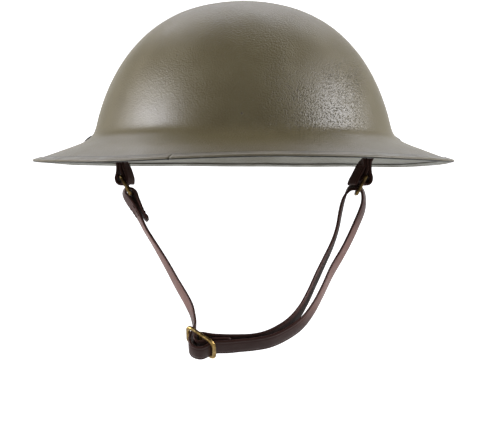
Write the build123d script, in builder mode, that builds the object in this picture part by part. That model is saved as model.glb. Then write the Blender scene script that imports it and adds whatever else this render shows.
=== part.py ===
from build123d import *
import math
import os

os.makedirs("parts", exist_ok=True)

# Steel helmet of the wide-brimmed soup-plate kind, with its liner and chin strap.
# Millimetres. Origin: centre of the head opening, in the plane of the brim's edge.
# +Z up, +X to the right seen from the front, the front towards -Y.

# ---------------------------------------------------------------- driving sizes
LONG = 1.075            # plan length over plan width of the pressed shell
STEEL = 1.0             # shell sheet
BINDING = 0.5           # rim binding sheet
BINDING_W = 5.6         # how far the binding reaches in from the edge
JOINT_DEG = 251.3       # where the binding's two ends meet, front left

BAND_A, BAND_B = 82.0, 93.0     # headband's inner half axes
BAND_T = 1.3
BAND_Z0, BAND_Z1 = 8.5, 44.0
BUFFER_R, BUFFER_BORE, BUFFER_L = 4.5, 2.0, 25.0
OUTER_A, OUTER_B, OUTER_T = 92.8, 103.8, 1.2
OUTER_Z0, OUTER_Z1 = 16.0, 36.0

STRAP_W, STRAP_T = 14.2, 2.0
TAB_T = 1.9
RING_R = 1.2            # ring wire radius
RING_IN = 16.6          # ring's clear width
BAIL_R = 1.3
BAIL_IN = 17.6
SLIDE_R = 1.3
SLIDE_HALF_W = 8.9      # slide's side bars from the strap's centre line

BAIL_AXIS = (98.6, 19.6)      # x, z of the bail's upper bar
BAIL_LOW = (89.0, 3.2)        # bail's lower bar
RING_TOP = (85.0, -11.5)      # ring's upper bar
RING_LOW = (78.5, -23.6)      # ring's lower bar

# ---------------------------------------------------------------- shell profile
# Outer face of the pressed shell at its widest section: radius, height.
OUTER = [
    (0, 110.6), (12.5, 110.0), (25.5, 107.9), (38.0, 104.4), (50.6, 98.9),
    (62.0, 91.7), (73.9, 80.9), (82.9, 69.7), (89.9, 58.0), (95.1, 46.8),
    (98.9, 36.2), (101.3, 27.5), (102.9, 20.9), (104.6, 16.9), (107.6, 13.9),
    (112.0, 11.5), (119.0, 9.0), (126.5, 6.7), (133.0, 4.6),
]
SLOPE = math.radians(16.9)
E = (math.cos(SLOPE), -math.sin(SLOPE))       # down the brim
NB = (math.sin(SLOPE), math.cos(SLOPE))       # out of the brim's upper face
BRIM_RUN = 12.7


def away(p, d, k):
    return (p[0] + d[0] * k, p[1] + d[1] * k)


def offset_points(curve, gap, count, last=1.0):
    """Points a fixed gap inside a profile curve."""
    out = []
    for i in range(count):
        t = last * i / (count - 1)
        p, d = curve.position_at(t), curve.tangent_at(t)
        # local sketch plane: x = radius, y = height
        out.append((p.X + d.Y * gap, p.Y - d.X * gap))
    out[0] = (0.0, out[0][1])
    return out


RIVET_P = (105.35, 15.55)                 # where the rivet's axis crosses the outer face
RIVET_N = (0.777, 0.629)                  # outward normal there
RIVET_T = (-0.629, 0.777)


def side_plane(sx, p, n):
    """Plane whose z axis is the outward normal on side sx and whose y axis is +Y."""
    z_dir = Vector(sx * n[0], 0, n[1])
    return Plane(origin=(sx * p[0], 0, p[1]), x_dir=Vector(0, 1, 0).cross(z_dir), z_dir=z_dir)


with BuildLine(mode=Mode.PRIVATE) as outer_curve:
    outer_spline = Spline(OUTER, tangents=[(1, 0), E])

inner_pts = offset_points(outer_spline, STEEL, 26)
edge_top = away(OUTER[-1], E, BRIM_RUN)
edge_low = away(edge_top, NB, -STEEL)

def half_plane(deg):
    """Upright half plane through Z at a turn from +X: x = radius, y = height."""
    a = math.radians(deg)
    return Plane(origin=(0, 0, 0), x_dir=(math.cos(a), math.sin(a), 0),
                 z_dir=(math.sin(a), -math.cos(a), 0))


HOLE = 2.15
with BuildPart() as shell:
    with BuildSketch(half_plane(100)) as shell_profile:
        with BuildLine():
            o = Spline(OUTER, tangents=[(1, 0), E])
            Line(o @ 1, edge_top)
            Line(edge_top, edge_low)
            Line(edge_low, inner_pts[-1])
            i_ = Spline(inner_pts, tangents=[(1, 0), E])
            Line(i_ @ 0, o @ 0)
        make_face()
        # the crown rivet's hole
        with Locations((0, 110)):
            Rectangle(2 * HOLE, 8, mode=Mode.SUBTRACT)
    revolve(axis=Axis.Z)
    scale(by=(1, LONG, 1))
    # holes for the two bail rivets
    with Locations(side_plane(1, RIVET_P, RIVET_N), side_plane(-1, RIVET_P, RIVET_N)):
        Cylinder(HOLE, 8, mode=Mode.SUBTRACT)
shell.part.label = "shell"


# ---------------------------------------------------------------- rim binding
tip = away(away(edge_top, NB, -STEEL / 2), E, 0.1)
R_IN, R_OUT = STEEL / 2 + 0.03, STEEL / 2 + 0.03 + BINDING
with BuildPart() as brim_rim:
    with BuildSketch(half_plane(JOINT_DEG)):
        with BuildLine():
            back = away(tip, E, -BINDING_W)
            p = [away(back, NB, R_OUT), away(tip, NB, R_OUT), away(tip, E, R_OUT),
                 away(tip, NB, -R_OUT), away(back, NB, -R_OUT), away(back, NB, -R_IN),
                 away(tip, NB, -R_IN), away(tip, E, R_IN), away(tip, NB, R_IN),
                 away(back, NB, R_IN)]
            Line(p[0], p[1])
            ThreePointArc(p[1], p[2], p[3])
            Line(p[3], p[4])
            Line(p[4], p[5])
            Line(p[5], p[6])
            ThreePointArc(p[6], p[7], p[8])
            Line(p[8], p[9])
            Line(p[9], p[0])
        make_face()
    revolve(axis=Axis.Z, revolution_arc=359.75)
    scale(by=(1, LONG, 1))
brim_rim.part.label = "brim_rim"


# ---------------------------------------------------------------- crown fastening
with BuildPart() as crown_rivet:
    # low round head outside, shank through shell, liner and washer, two legs spread inside
    with BuildSketch(Plane.XZ):
        with BuildLine():
            Polyline((0, 111.5), (2.5, 111.45), (4.6, 111.1), (5.2, 110.75), (0, 110.75), (0, 111.5))
        make_face()
    revolve(axis=Axis.Z)
    with Locations((0, 0, 110.85)):
        Cylinder(2.05, 110.85 - 105.3, align=(Align.CENTER, Align.CENTER, Align.MAX))
    with Locations((3.8, 0, 105.15), (-3.8, 0, 105.15)):
        Box(7.8, 3.4, 0.8)
crown_rivet.part.label = "crown_rivet"

with BuildPart() as crown_washer:
    with BuildSketch(Plane.XY.offset(105.65)):
        Circle(8.0)
        Circle(2.15, mode=Mode.SUBTRACT)
    extrude(amount=0.9)
crown_washer.part.label = "crown_washer"

# ---------------------------------------------------------------- liner
# Six oilcloth arms that lie inside the shell and hang the liner from the crown rivet.
with BuildPart() as crown_straps:
    top_pts = offset_points(outer_spline, 2.4, 16, 0.62)
    low_pts = offset_points(outer_spline, 3.5, 16, 0.62)
    with BuildSketch(Plane.XZ):
        with BuildLine():
            a_ = Spline(top_pts, tangents=[(1, 0), outer_spline.tangent_at(0.62)])
            b_ = Spline(low_pts, tangents=[(1, 0), outer_spline.tangent_at(0.62)])
            Line(a_ @ 1, b_ @ 1)
            Line(b_ @ 0, a_ @ 0)
        make_face()
    revolve(axis=Axis.Z)
    scale(by=(1, LONG, 1))
    # keep three crossed strips
    with BuildSketch(Plane.XY.offset(OUTER_Z1 + 0.4)):
        with PolarLocations(0, 3, start_angle=30, angular_range=180):
            Rectangle(230, 34)
        Circle(2.15, mode=Mode.SUBTRACT)
    extrude(amount=90, mode=Mode.INTERSECT)
crown_straps.part.label = "crown_straps"

with BuildPart() as crown_pad:
    # felt pad, dished to the crown
    with BuildSketch(Plane.XZ):
        with BuildLine():
            Polyline((0, 102.6), (20, 101.2), (38, 96.6), (45, 93.6), (45, 88.4), (38, 90.6), (20, 94.6), (0, 96.0), (0, 102.6))
        make_face()
    revolve(axis=Axis.Z)
    fillet(crown_pad.edges().filter_by(GeomType.CIRCLE).filter_by(lambda e: e.radius > 44.5), 2.2)
    scale(by=(1, LONG, 1))
crown_pad.part.label = "crown_pad"

with BuildPart() as headband:
    with BuildSketch(Plane.XY.offset(BAND_Z0)):
        Ellipse(BAND_A + BAND_T, BAND_B + BAND_T)
        Ellipse(BAND_A, BAND_B, mode=Mode.SUBTRACT)
    extrude(amount=BAND_Z1 - BAND_Z0)
headband.part.label = "headband"

with BuildPart() as buffer_band:
    with BuildSketch(Plane.XY.offset(OUTER_Z0)):
        Ellipse(OUTER_A + OUTER_T, OUTER_B + OUTER_T)
        Ellipse(OUTER_A, OUTER_B, mode=Mode.SUBTRACT)
    extrude(amount=OUTER_Z1 - OUTER_Z0)
buffer_band.part.label = "buffer_band"

# twelve rubber tubes standing between the two bands
MID_A, MID_B = (BAND_A + BAND_T + OUTER_A) / 2, (BAND_B + BAND_T + OUTER_B) / 2
buffer_spots = []
for k in range(12):
    a = math.radians(15 + 30 * k)
    buffer_spots.append((MID_A * math.cos(a), MID_B * math.sin(a)))
with BuildPart() as rubber_buffers:
    with BuildSketch(Plane.XY.offset(11.0)):
        with Locations(*buffer_spots):
            Circle(BUFFER_R)
            Circle(BUFFER_BORE, mode=Mode.SUBTRACT)
    extrude(amount=BUFFER_L)
rubber_buffers.part.label = "rubber_buffers"

# twine net that takes the top of the head: thin dome over the headband
NET_Z, NET_H, NET_T = BAND_Z1 + 2.9, 36.0, 1.6
with BuildPart() as head_net:
    with BuildSketch(Plane.XZ):
        with BuildLine():
            n0 = [(11.0, NET_Z + NET_H - 0.3), (24, NET_Z + 34.2), (42, NET_Z + 29.2), (60, NET_Z + 20.5), (73, NET_Z + 10.5), (80.5, NET_Z)]
            n1 = [(x, z - NET_T) if x < 55 else (x - NET_T, z) for x, z in n0]
            c0 = Spline(n0)
            c1 = Spline(n1)
            Line(c0 @ 0, c1 @ 0)
            Line(c0 @ 1, c1 @ 1)
        make_face()
    revolve(axis=Axis.Z)
    scale(by=(1, (BAND_B - 1.0) / (BAND_A - 1.0), 1))
head_net.part.label = "head_net"

# lacing cord that ties the net to the headband's top edge
with BuildPart() as net_lacing:
    with BuildSketch(Plane.XY.offset(BAND_Z1 + 0.3)):
        Ellipse(BAND_A + BAND_T, BAND_B + BAND_T)
        Ellipse(BAND_A - 1.2, BAND_B - 1.2, mode=Mode.SUBTRACT)
    extrude(amount=2.2)
net_lacing.part.label = "net_lacing"

# drawn cord in the net's crown, tied in a flat knot
with BuildPart() as drawstring:
    with BuildSketch(Plane.XZ):
        with Locations((8.6, NET_Z + NET_H - 1.2)):
            Circle(1.2)
    revolve(axis=Axis.Z)
    with Locations((0, -8.6, NET_Z + NET_H - 1.2)):
        Box(4.6, 3.4, 3.2)
drawstring.part.label = "drawstring"

# ---------------------------------------------------------------- bails at the sides
clips, rivets, bails, tabs, rings = {}, {}, {}, {}, {}
for sx, side in ((-1, "left"), (1, "right")):
    # folded clip: a double plate riveted inside the shell, rolled round the bail's upper bar
    q = away(RIVET_P, RIVET_N, -(STEEL + 0.3 + 1.0))      # plate's middle plane
    plate_end = away(q, RIVET_T, 5.2)
    plate_tip = away(q, RIVET_T, -5.0)
    with BuildPart() as clip:
        with BuildSketch(Plane.XZ.offset(-6.5)):
            h = 1.0
            pts = [away(plate_tip, RIVET_N, h), away(plate_end, RIVET_N, h),
                   (BAIL_AXIS[0] + 1.0, BAIL_AXIS[1] + 1.9), (BAIL_AXIS[0] - 0.6, BAIL_AXIS[1] - 1.6),
                   away(plate_end, RIVET_N, -h), away(plate_tip, RIVET_N, -h)]
            with BuildLine():
                Polyline(*[(sx * x, z) for x, z in pts], close=True)
            make_face()
            with Locations((sx * BAIL_AXIS[0], BAIL_AXIS[1])):
                Circle(BAIL_R + 0.08 + 1.0)
                Circle(BAIL_R + 0.08, mode=Mode.SUBTRACT)
        extrude(amount=13.0)
        with Locations(side_plane(sx, q, RIVET_N)):
            Cylinder(2.15, 8, mode=Mode.SUBTRACT)
    clip.part.label = f"bail_clip_{side}"
    clips[side] = clip.part

    # split rivet: low head outside, shank, legs turned over on the clip
    with BuildPart() as rivet:
        with Locations(side_plane(sx, away(RIVET_P, RIVET_N, 0.15), RIVET_N)):
            Cylinder(4.6, 0.5, align=(Align.CENTER, Align.CENTER, Align.MIN))
            Cylinder(3.6, 1.0, align=(Align.CENTER, Align.CENTER, Align.MIN))
            Cylinder(2.05, 4.15, align=(Align.CENTER, Align.CENTER, Align.MAX))
        with Locations(side_plane(sx, away(q, RIVET_N, -1.15), RIVET_N)):
            Box(3.4, 11.0, 0.8, align=(Align.CENTER, Align.CENTER, Align.MAX))
    rivet.part.label = f"bail_rivet_{side}"
    rivets[side] = rivet.part

    # wire loop
    ax, lo = Vector(sx * BAIL_AXIS[0], 0, BAIL_AXIS[1]), Vector(sx * BAIL_LOW[0], 0, BAIL_LOW[1])
    half = BAIL_IN / 2 + BAIL_R
    with BuildPart() as bail:
        with BuildLine():
            w = FilletPolyline(ax + Vector(0, -half, 0), ax + Vector(0, half, 0),
                               lo + Vector(0, half, 0), lo + Vector(0, -half, 0), radius=2.4, close=True)
        with BuildSketch(Plane(origin=w @ 0, z_dir=w % 0)):
            Circle(BAIL_R)
        sweep()
    bail.part.label = f"bail_{side}"
    bails[side] = bail.part

    # leather tab: a sewn belt round the bail's lower bar and the ring's upper bar
    a0, b0 = (sx * BAIL_LOW[0], BAIL_LOW[1]), (sx * RING_TOP[0], RING_TOP[1])
    with BuildPart() as tab:
        with BuildSketch(Plane.XZ.offset(-STRAP_W / 2)):
            with BuildSketch(Plane.XY, mode=Mode.PRIVATE) as belt_out:
                with Locations(a0, b0):
                    Circle(BAIL_R + 0.35 + TAB_T)
                make_hull()
            with BuildSketch(Plane.XY, mode=Mode.PRIVATE) as belt_in:
                with Locations(a0, b0):
                    Circle(BAIL_R + 0.35)
                make_hull()
            add(belt_out.sketch)
            add(belt_in.sketch, mode=Mode.SUBTRACT)
        extrude(amount=STRAP_W)
    tab.part.label = f"strap_tab_{side}"
    tabs[side] = tab.part

    # brass ring
    rt, rl = Vector(sx * RING_TOP[0], 0, RING_TOP[1]), Vector(sx * RING_LOW[0], 0, RING_LOW[1])
    half = RING_IN / 2 + RING_R
    with BuildPart() as ring:
        with BuildLine():
            w = FilletPolyline(rt + Vector(0, -half, 0), rt + Vector(0, half, 0),
                               rl + Vector(0, half, 0), rl + Vector(0, -half, 0), radius=2.0, close=True)
        with BuildSketch(Plane(origin=w @ 0, z_dir=w % 0)):
            Circle(RING_R)
        sweep()
    ring.part.label = f"ring_{side}"
    rings[side] = ring.part

# ---------------------------------------------------------------- chin strap
# The strap hangs in a curved sheet: upright at the rings, leaning forward under the chin.
LEAN = 38.0


def lean(z):
    t = max(0.0, min(1.0, (-34.0 - z) / 50.0))
    return math.radians(LEAN * t * t * (3 - 2 * t))


sheet = []
yy, zz = 0.0, 20.0
while zz > -175:
    sheet.append(yy)
    yy -= math.tan(lean(zz - 0.05)) * 0.1
    zz -= 0.1


def forward(z):
    f = max(0.0, min(len(sheet) - 2.001, (20.0 - z) / 0.1))
    k = int(f)
    return sheet[k] * (1 - f + k) + sheet[k + 1] * (f - k)


# Middle line of the leather: x, z, and turn about its own line in degrees.
# From the sewn tail at the left ring, down to the slide, under the chin, up and through
# the right ring, and back along the inside to the slide's middle bar.
ROUTE = [
    (-66.4, -42.5, 0), (-68.5, -38.7, 0), (-70.2, -34.5, 8), (-71.3, -30.0, 12), (-72.6, -26.5, 12),
    (-74.8, -22.8, 8), (-77.3, -20.2, 0), (-80.1, -19.2, 0), (-82.4, -20.3, 0), (-83.2, -23.1, 0),
    (-82.0, -26.5, 0), (-79.6, -30.0, 0), (-75.9, -35.0, 0), (-72.4, -40.4, 0), (-68.2, -48.4, 2),
    (-63.4, -56.1, 8), (-58.5, -64.0, 9), (-52.4, -74.0, 5), (-45.9, -85.2, 2), (-39.3, -95.9, 4),
    (-35.3, -103.5, 12), (-33.6, -109.8, 14), (-32.7, -115.0, 8), (-33.0, -118.9, 0), (-34.5, -122.7, 0),
    (-35.1, -126.0, 0), (-33.9, -129.2, 0), (-30.8, -131.1, 0), (-27.2, -131.1, 0), (-23.9, -129.4, 0),
    (-20.5, -127.7, 0), (-16.8, -127.2, 0), (-11.8, -127.2, 0), (-2.4, -126.4, 0), (7.1, -125.5, 0),
    (18.5, -123.4, 0), (29.7, -118.5, 0), (39.7, -111.6, 0), (47.4, -102.1, 0), (54.1, -90.5, 0),
    (60.6, -77.6, 4), (68.1, -65.4, 10), (74.3, -53.9, 18), (79.5, -42.5, 19), (82.2, -35.9, 13),
    (83.5, -30.7, 5), (83.7, -25.8, 0), (83.0, -21.8, 0), (80.8, -19.8, 0), (77.4, -19.2, 0),
    (74.2, -20.1, 0), (71.7, -22.6, 0), (69.9, -26.8, 0), (68.4, -32.0, 0), (67.3, -37.3, 0),
    (65.4, -47.4, 0), (61.8, -58.2, 0), (55.8, -70.7, 0), (49.7, -82.8, 0), (44.0, -94.5, 0),
    (37.9, -104.5, 0), (29.3, -113.4, 0), (16.5, -120.4, 0), (7.1, -122.7, 0), (-2.4, -123.2, 0),
    (-11.8, -123.2, 0), (-21.2, -122.7, 0), (-26.3, -121.9, 0), (-29.2, -121.5, 0), (-31.2, -122.6, 0),
    (-31.6, -124.8, 0), (-29.9, -126.7, 0), (-27.3, -127.0, 0), (-24.2, -125.9, 0), (-19.9, -125.4, 0),
    (-14.5, -125.2, 0), (-8.4, -125.2, 0),
]


def smooth(points, step):
    """Centripetal curve through the points, cut at about the step."""
    pts = [tuple(2 * a - b for a, b in zip(points[0], points[1]))] + list(points)
    pts.append(tuple(2 * a - b for a, b in zip(points[-1], points[-2])))
    out = []
    for i in range(1, len(pts) - 2):
        q0, q1, q2, q3 = pts[i - 1:i + 3]
        t0 = 0.0
        t1 = t0 + math.dist(q0, q1) ** 0.5
        t2 = t1 + math.dist(q1, q2) ** 0.5
        t3 = t2 + math.dist(q2, q3) ** 0.5
        n = max(1, round(math.dist(q1[:2], q2[:2]) / step))
        for k in range(n):
            t = t1 + (t2 - t1) * k / n

            def mix(u, v, ta, tb):
                return tuple((tb - t) / (tb - ta) * a + (t - ta) / (tb - ta) * b for a, b in zip(u, v))

            a1, a2, a3 = mix(q0, q1, t0, t1), mix(q1, q2, t1, t2), mix(q2, q3, t2, t3)
            b1, b2 = mix(a1, a2, t0, t2), mix(a2, a3, t1, t3)
            out.append(mix(b1, b2, t1, t2))
    out.append(points[-1])
    return out


line = smooth(ROUTE, 3.6)
mid = [Vector(x, forward(z), z) for x, z, _ in line]
stations = []
for k, (x, z, turn) in enumerate(line):
    along = (mid[min(k + 1, len(mid) - 1)] - mid[max(k - 1, 0)]).normalized()
    a = lean(z)
    wide = Vector(0, -math.cos(a), math.sin(a))
    wide = (wide - along * wide.dot(along)).normalized()
    thick = along.cross(wide)
    r = math.radians(turn)
    stations.append(Plane(origin=mid[k], x_dir=wide * math.cos(r) + thick * math.sin(r), z_dir=along))

with BuildPart() as chin_strap:
    for s in stations:
        with BuildSketch(s):
            Rectangle(STRAP_W, STRAP_T)
    loft(ruled=True)
chin_strap.part.label = "chin_strap"
strap_length = sum((b - a).length for a, b in zip(mid, mid[1:]))
print("strap length", round(strap_length, 1), "volume / section", round(chin_strap.part.volume / (STRAP_W * STRAP_T), 1))

# ---------------------------------------------------------------- slide
SLIDE_MID = (-28.54, -124.27)
SLIDE_END = (-19.82, -129.87)
la = math.radians(LEAN)
wide = Vector(0, -math.cos(la), math.sin(la))
c_mid = Vector(SLIDE_MID[0], forward(SLIDE_MID[1]), SLIDE_MID[1])
c_end = Vector(SLIDE_END[0], forward(SLIDE_END[1]), SLIDE_END[1])
run = (c_end - c_mid).normalized() * 11.4
with BuildPart() as slide_buckle:
    with BuildLine():
        w = FilletPolyline(c_mid + run + wide * SLIDE_HALF_W, c_mid - run + wide * SLIDE_HALF_W,
                           c_mid - run - wide * SLIDE_HALF_W, c_mid + run - wide * SLIDE_HALF_W,
                           radius=2.4, close=True)
    with BuildSketch(Plane(origin=w @ 0, z_dir=w % 0)):
        Circle(SLIDE_R)
    sweep()
    with Locations(Plane(origin=c_mid, x_dir=run, z_dir=wide)):
        Cylinder(SLIDE_R, 2 * SLIDE_HALF_W)
slide_buckle.part.label = "slide_buckle"

# ---------------------------------------------------------------- files
export_step(shell.part, "parts/shell.step")
export_step(brim_rim.part, "parts/brim_rim.step")
export_step(crown_rivet.part, "parts/crown_rivet.step")
export_step(crown_washer.part, "parts/crown_washer.step")
export_step(crown_straps.part, "parts/crown_straps.step")
export_step(crown_pad.part, "parts/crown_pad.step")
export_step(headband.part, "parts/headband.step")
export_step(buffer_band.part, "parts/buffer_band.step")
export_step(rubber_buffers.part, "parts/rubber_buffers.step")
export_step(head_net.part, "parts/head_net.step")
export_step(net_lacing.part, "parts/net_lacing.step")
export_step(drawstring.part, "parts/drawstring.step")
for side in ("left", "right"):
    export_step(clips[side], f"parts/bail_clip_{side}.step")
    export_step(rivets[side], f"parts/bail_rivet_{side}.step")
    export_step(bails[side], f"parts/bail_{side}.step")
    export_step(tabs[side], f"parts/strap_tab_{side}.step")
    export_step(rings[side], f"parts/ring_{side}.step")
export_step(chin_strap.part, "parts/chin_strap.step")
export_step(slide_buckle.part, "parts/slide_buckle.step")
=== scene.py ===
import math
import random

import bpy
import numpy as np
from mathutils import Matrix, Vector, noise as mn


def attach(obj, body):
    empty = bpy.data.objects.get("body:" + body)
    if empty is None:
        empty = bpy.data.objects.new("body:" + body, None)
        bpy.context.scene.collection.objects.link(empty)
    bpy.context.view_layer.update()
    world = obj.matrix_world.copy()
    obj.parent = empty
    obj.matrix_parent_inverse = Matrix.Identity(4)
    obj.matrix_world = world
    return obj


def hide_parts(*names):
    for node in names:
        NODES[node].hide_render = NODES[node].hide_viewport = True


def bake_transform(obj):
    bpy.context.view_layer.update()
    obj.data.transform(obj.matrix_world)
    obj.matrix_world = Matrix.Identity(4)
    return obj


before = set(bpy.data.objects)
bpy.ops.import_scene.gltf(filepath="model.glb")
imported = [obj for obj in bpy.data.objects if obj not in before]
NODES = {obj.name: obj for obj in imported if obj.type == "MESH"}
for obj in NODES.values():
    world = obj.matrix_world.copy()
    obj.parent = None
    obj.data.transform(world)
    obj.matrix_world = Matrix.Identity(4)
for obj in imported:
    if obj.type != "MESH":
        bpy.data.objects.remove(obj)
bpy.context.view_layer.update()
random.seed(7)
RNG = np.random.default_rng(7)
MM = 0.001


# =====================================================================  mesh helpers
def fbm(p, scale, octaves=3, seed=0.0):
    """Smooth repeatable noise in -1..1 at a point in mm."""
    v, amp, tot = 0.0, 1.0, 0.0
    q = Vector((p[0] / scale + seed, p[1] / scale - seed * 0.7, p[2] / scale + seed * 0.31))
    for _ in range(octaves):
        v += amp * mn.noise(q)
        tot += amp
        amp *= 0.5
        q = q * 2.03
    return v / tot


def outward(verts, faces):
    """Turns a closed skin's faces outwards."""
    V = np.asarray(verts, float)
    V = V - V.mean(0)
    vol = 0.0
    quads = np.array([f for f in faces if len(f) == 4], int)
    if len(quads):
        a, b, c, d = (V[quads[:, i]] for i in range(4))
        vol += float(np.einsum("ij,ij->", a, np.cross(b, c)) + np.einsum("ij,ij->", a, np.cross(c, d)))
    for f in faces:
        if len(f) != 4:
            for i in range(1, len(f) - 1):
                vol += float(np.dot(V[f[0]], np.cross(V[f[i]], V[f[i + 1]])))
    return faces if vol >= 0 else [tuple(f)[::-1] for f in faces]


def make_obj(name, verts_mm, faces, mats, smooth=True, face_mat=None):
    me = bpy.data.meshes.new(name)
    me.from_pydata([tuple(c * MM for c in v) for v in verts_mm], [], [tuple(f) for f in faces])
    me.update()
    for m in (mats if isinstance(mats, (list, tuple)) else [mats]):
        me.materials.append(m)
    if face_mat is not None:
        me.polygons.foreach_set("material_index", face_mat)
    if smooth:
        me.polygons.foreach_set("use_smooth", [True] * len(me.polygons))
    ob = bpy.data.objects.new(name, me)
    bpy.context.scene.collection.objects.link(ob)
    return ob


class Soup:
    """Gathers many small meshes into one object."""

    def __init__(self):
        self.v, self.f, self.m = [], [], []

    def add(self, verts, faces, mat=0):
        faces = outward(verts, faces)
        k = len(self.v)
        self.v.extend(verts)
        self.f.extend([tuple(i + k for i in f) for f in faces])
        self.m.extend([mat] * len(faces))

    def grid(self, P, closed_u=False, closed_v=False, mat=0, caps=False):
        """P is n x m points; u runs over n, v over m. Faces wind so that u x v is outward."""
        n, m = len(P), len(P[0])
        verts = [tuple(p) for row in P for p in row]
        faces = []
        for i in range(n if closed_u else n - 1):
            for j in range(m if closed_v else m - 1):
                a, b = i * m + j, i * m + (j + 1) % m
                c, d = ((i + 1) % n) * m + (j + 1) % m, ((i + 1) % n) * m + j
                faces.append((a, d, c, b))
        if caps and closed_v and not closed_u:
            faces.append(tuple(range(m)))
            faces.append(tuple((n - 1) * m + j for j in reversed(range(m))))
        self.add(verts, faces, mat)

    def tube(self, path, r, sides=8, closed=False, mat=0, round_ends=True, up=(0.0, 0.0, 1.0)):
        """A round cord along points in mm; r is a number or one per point."""
        P = np.asarray(path, float)
        n = len(P)
        R = np.full(n, float(r)) if np.isscalar(r) else np.asarray(r, float)
        if closed:
            T = np.roll(P, -1, 0) - np.roll(P, 1, 0)
        else:
            T = np.gradient(P, axis=0)
        T /= np.linalg.norm(T, axis=1)[:, None] + 1e-12
        if round_ends and not closed:
            r0, r1 = R[0], R[-1]
            P = np.vstack([P[0] - T[0] * r0 * 0.9, P[0] - T[0] * r0 * 0.55, P, P[-1] + T[-1] * r1 * 0.55, P[-1] + T[-1] * r1 * 0.9])
            R = np.concatenate([[r0 * 0.35, r0 * 0.83], R, [r1 * 0.83, r1 * 0.35]])
            T = np.vstack([T[0], T[0], T, T[-1], T[-1]])
            n = len(P)
        # carry a frame along the path
        ref = np.array(up, float)
        if abs(np.dot(ref, T[0])) > 0.9:
            ref = np.array([1.0, 0.0, 0.0])
        A = np.zeros_like(P)
        a = ref - T[0] * np.dot(ref, T[0])
        a /= np.linalg.norm(a)
        A[0] = a
        for i in range(1, n):
            a = a - T[i] * np.dot(a, T[i])
            a /= np.linalg.norm(a) + 1e-12
            A[i] = a
        if closed:
            # spread the closing twist
            a2 = A[-1] - T[0] * np.dot(A[-1], T[0])
            a2 /= np.linalg.norm(a2)
            tw = math.atan2(np.dot(np.cross(a2, A[0]), T[0]), np.dot(a2, A[0]))
            for i in range(n):
                w = tw * i / n
                b = np.cross(T[i], A[i])
                A[i] = A[i] * math.cos(w) + b * math.sin(w)
        B = np.cross(T, A)
        rows = []
        for i in range(n):
            rows.append([P[i] + R[i] * (A[i] * math.cos(t) + B[i] * math.sin(t)) for t in [2 * math.pi * k / sides for k in range(sides)]])
        self.grid(rows, closed_u=closed, closed_v=True, mat=mat, caps=not closed)

    def lathe(self, prof, centre, axis, sides=40, mat=0):
        """prof: (radius, height) pairs from one pole or end to the other, along axis."""
        z = np.array(axis, float)
        z /= np.linalg.norm(z)
        x = np.cross([0.0, 1.0, 0.0], z)
        x /= np.linalg.norm(x)
        y = np.cross(z, x)
        c = np.array(centre, float)
        rows = []
        for r, h in prof:
            rows.append([c + z * h + max(r, 1e-4) * (x * math.cos(t) + y * math.sin(t)) for t in [2 * math.pi * k / sides for k in range(sides)]])
        rows = rows[::-1]
        self.grid(rows, closed_v=True, mat=mat, caps=True)

    def obj(self, name, mats, smooth=True):
        return make_obj(name, self.v, self.f, mats, smooth, self.m)


def cubic(points, t0, t1, n):
    """Clamped cubic through points, chord-length parameter; n samples evenly spaced along it."""
    P = np.array(points, float)
    h = np.linalg.norm(np.diff(P, axis=0), axis=1)
    k = len(P)
    A = np.zeros((k, k))
    B = np.zeros((k, 2))
    A[0, 0] = A[-1, -1] = 1
    B[0], B[-1] = t0, t1
    for i in range(1, k - 1):
        A[i, i - 1], A[i, i], A[i, i + 1] = h[i], 2 * (h[i - 1] + h[i]), h[i - 1]
        B[i] = 3 * (h[i] * (P[i] - P[i - 1]) / h[i - 1] + h[i - 1] * (P[i + 1] - P[i]) / h[i])
    D = np.linalg.solve(A, B)
    out = []
    for i in range(k - 1):
        m = max(4, int(h[i] / 0.25))
        for j in range(m):
            s = j / m
            a, b = P[i], P[i + 1]
            out.append((2 * s**3 - 3 * s**2 + 1) * a + (s**3 - 2 * s**2 + s) * h[i] * D[i] + (-2 * s**3 + 3 * s**2) * b + (s**3 - s**2) * h[i] * D[i + 1])
    out.append(P[-1])
    out = np.array(out)
    L = np.concatenate([[0], np.cumsum(np.linalg.norm(np.diff(out, axis=0), axis=1))])
    s = np.linspace(0, L[-1], n)
    return np.stack([np.interp(s, L, out[:, 0]), np.interp(s, L, out[:, 1])], 1)


def normals2(C):
    T = np.gradient(C, axis=0)
    T /= np.linalg.norm(T, axis=1)[:, None]
    return np.stack([-T[:, 1], T[:, 0]], 1)   # left of the run: outward for a profile run outwards


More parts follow.
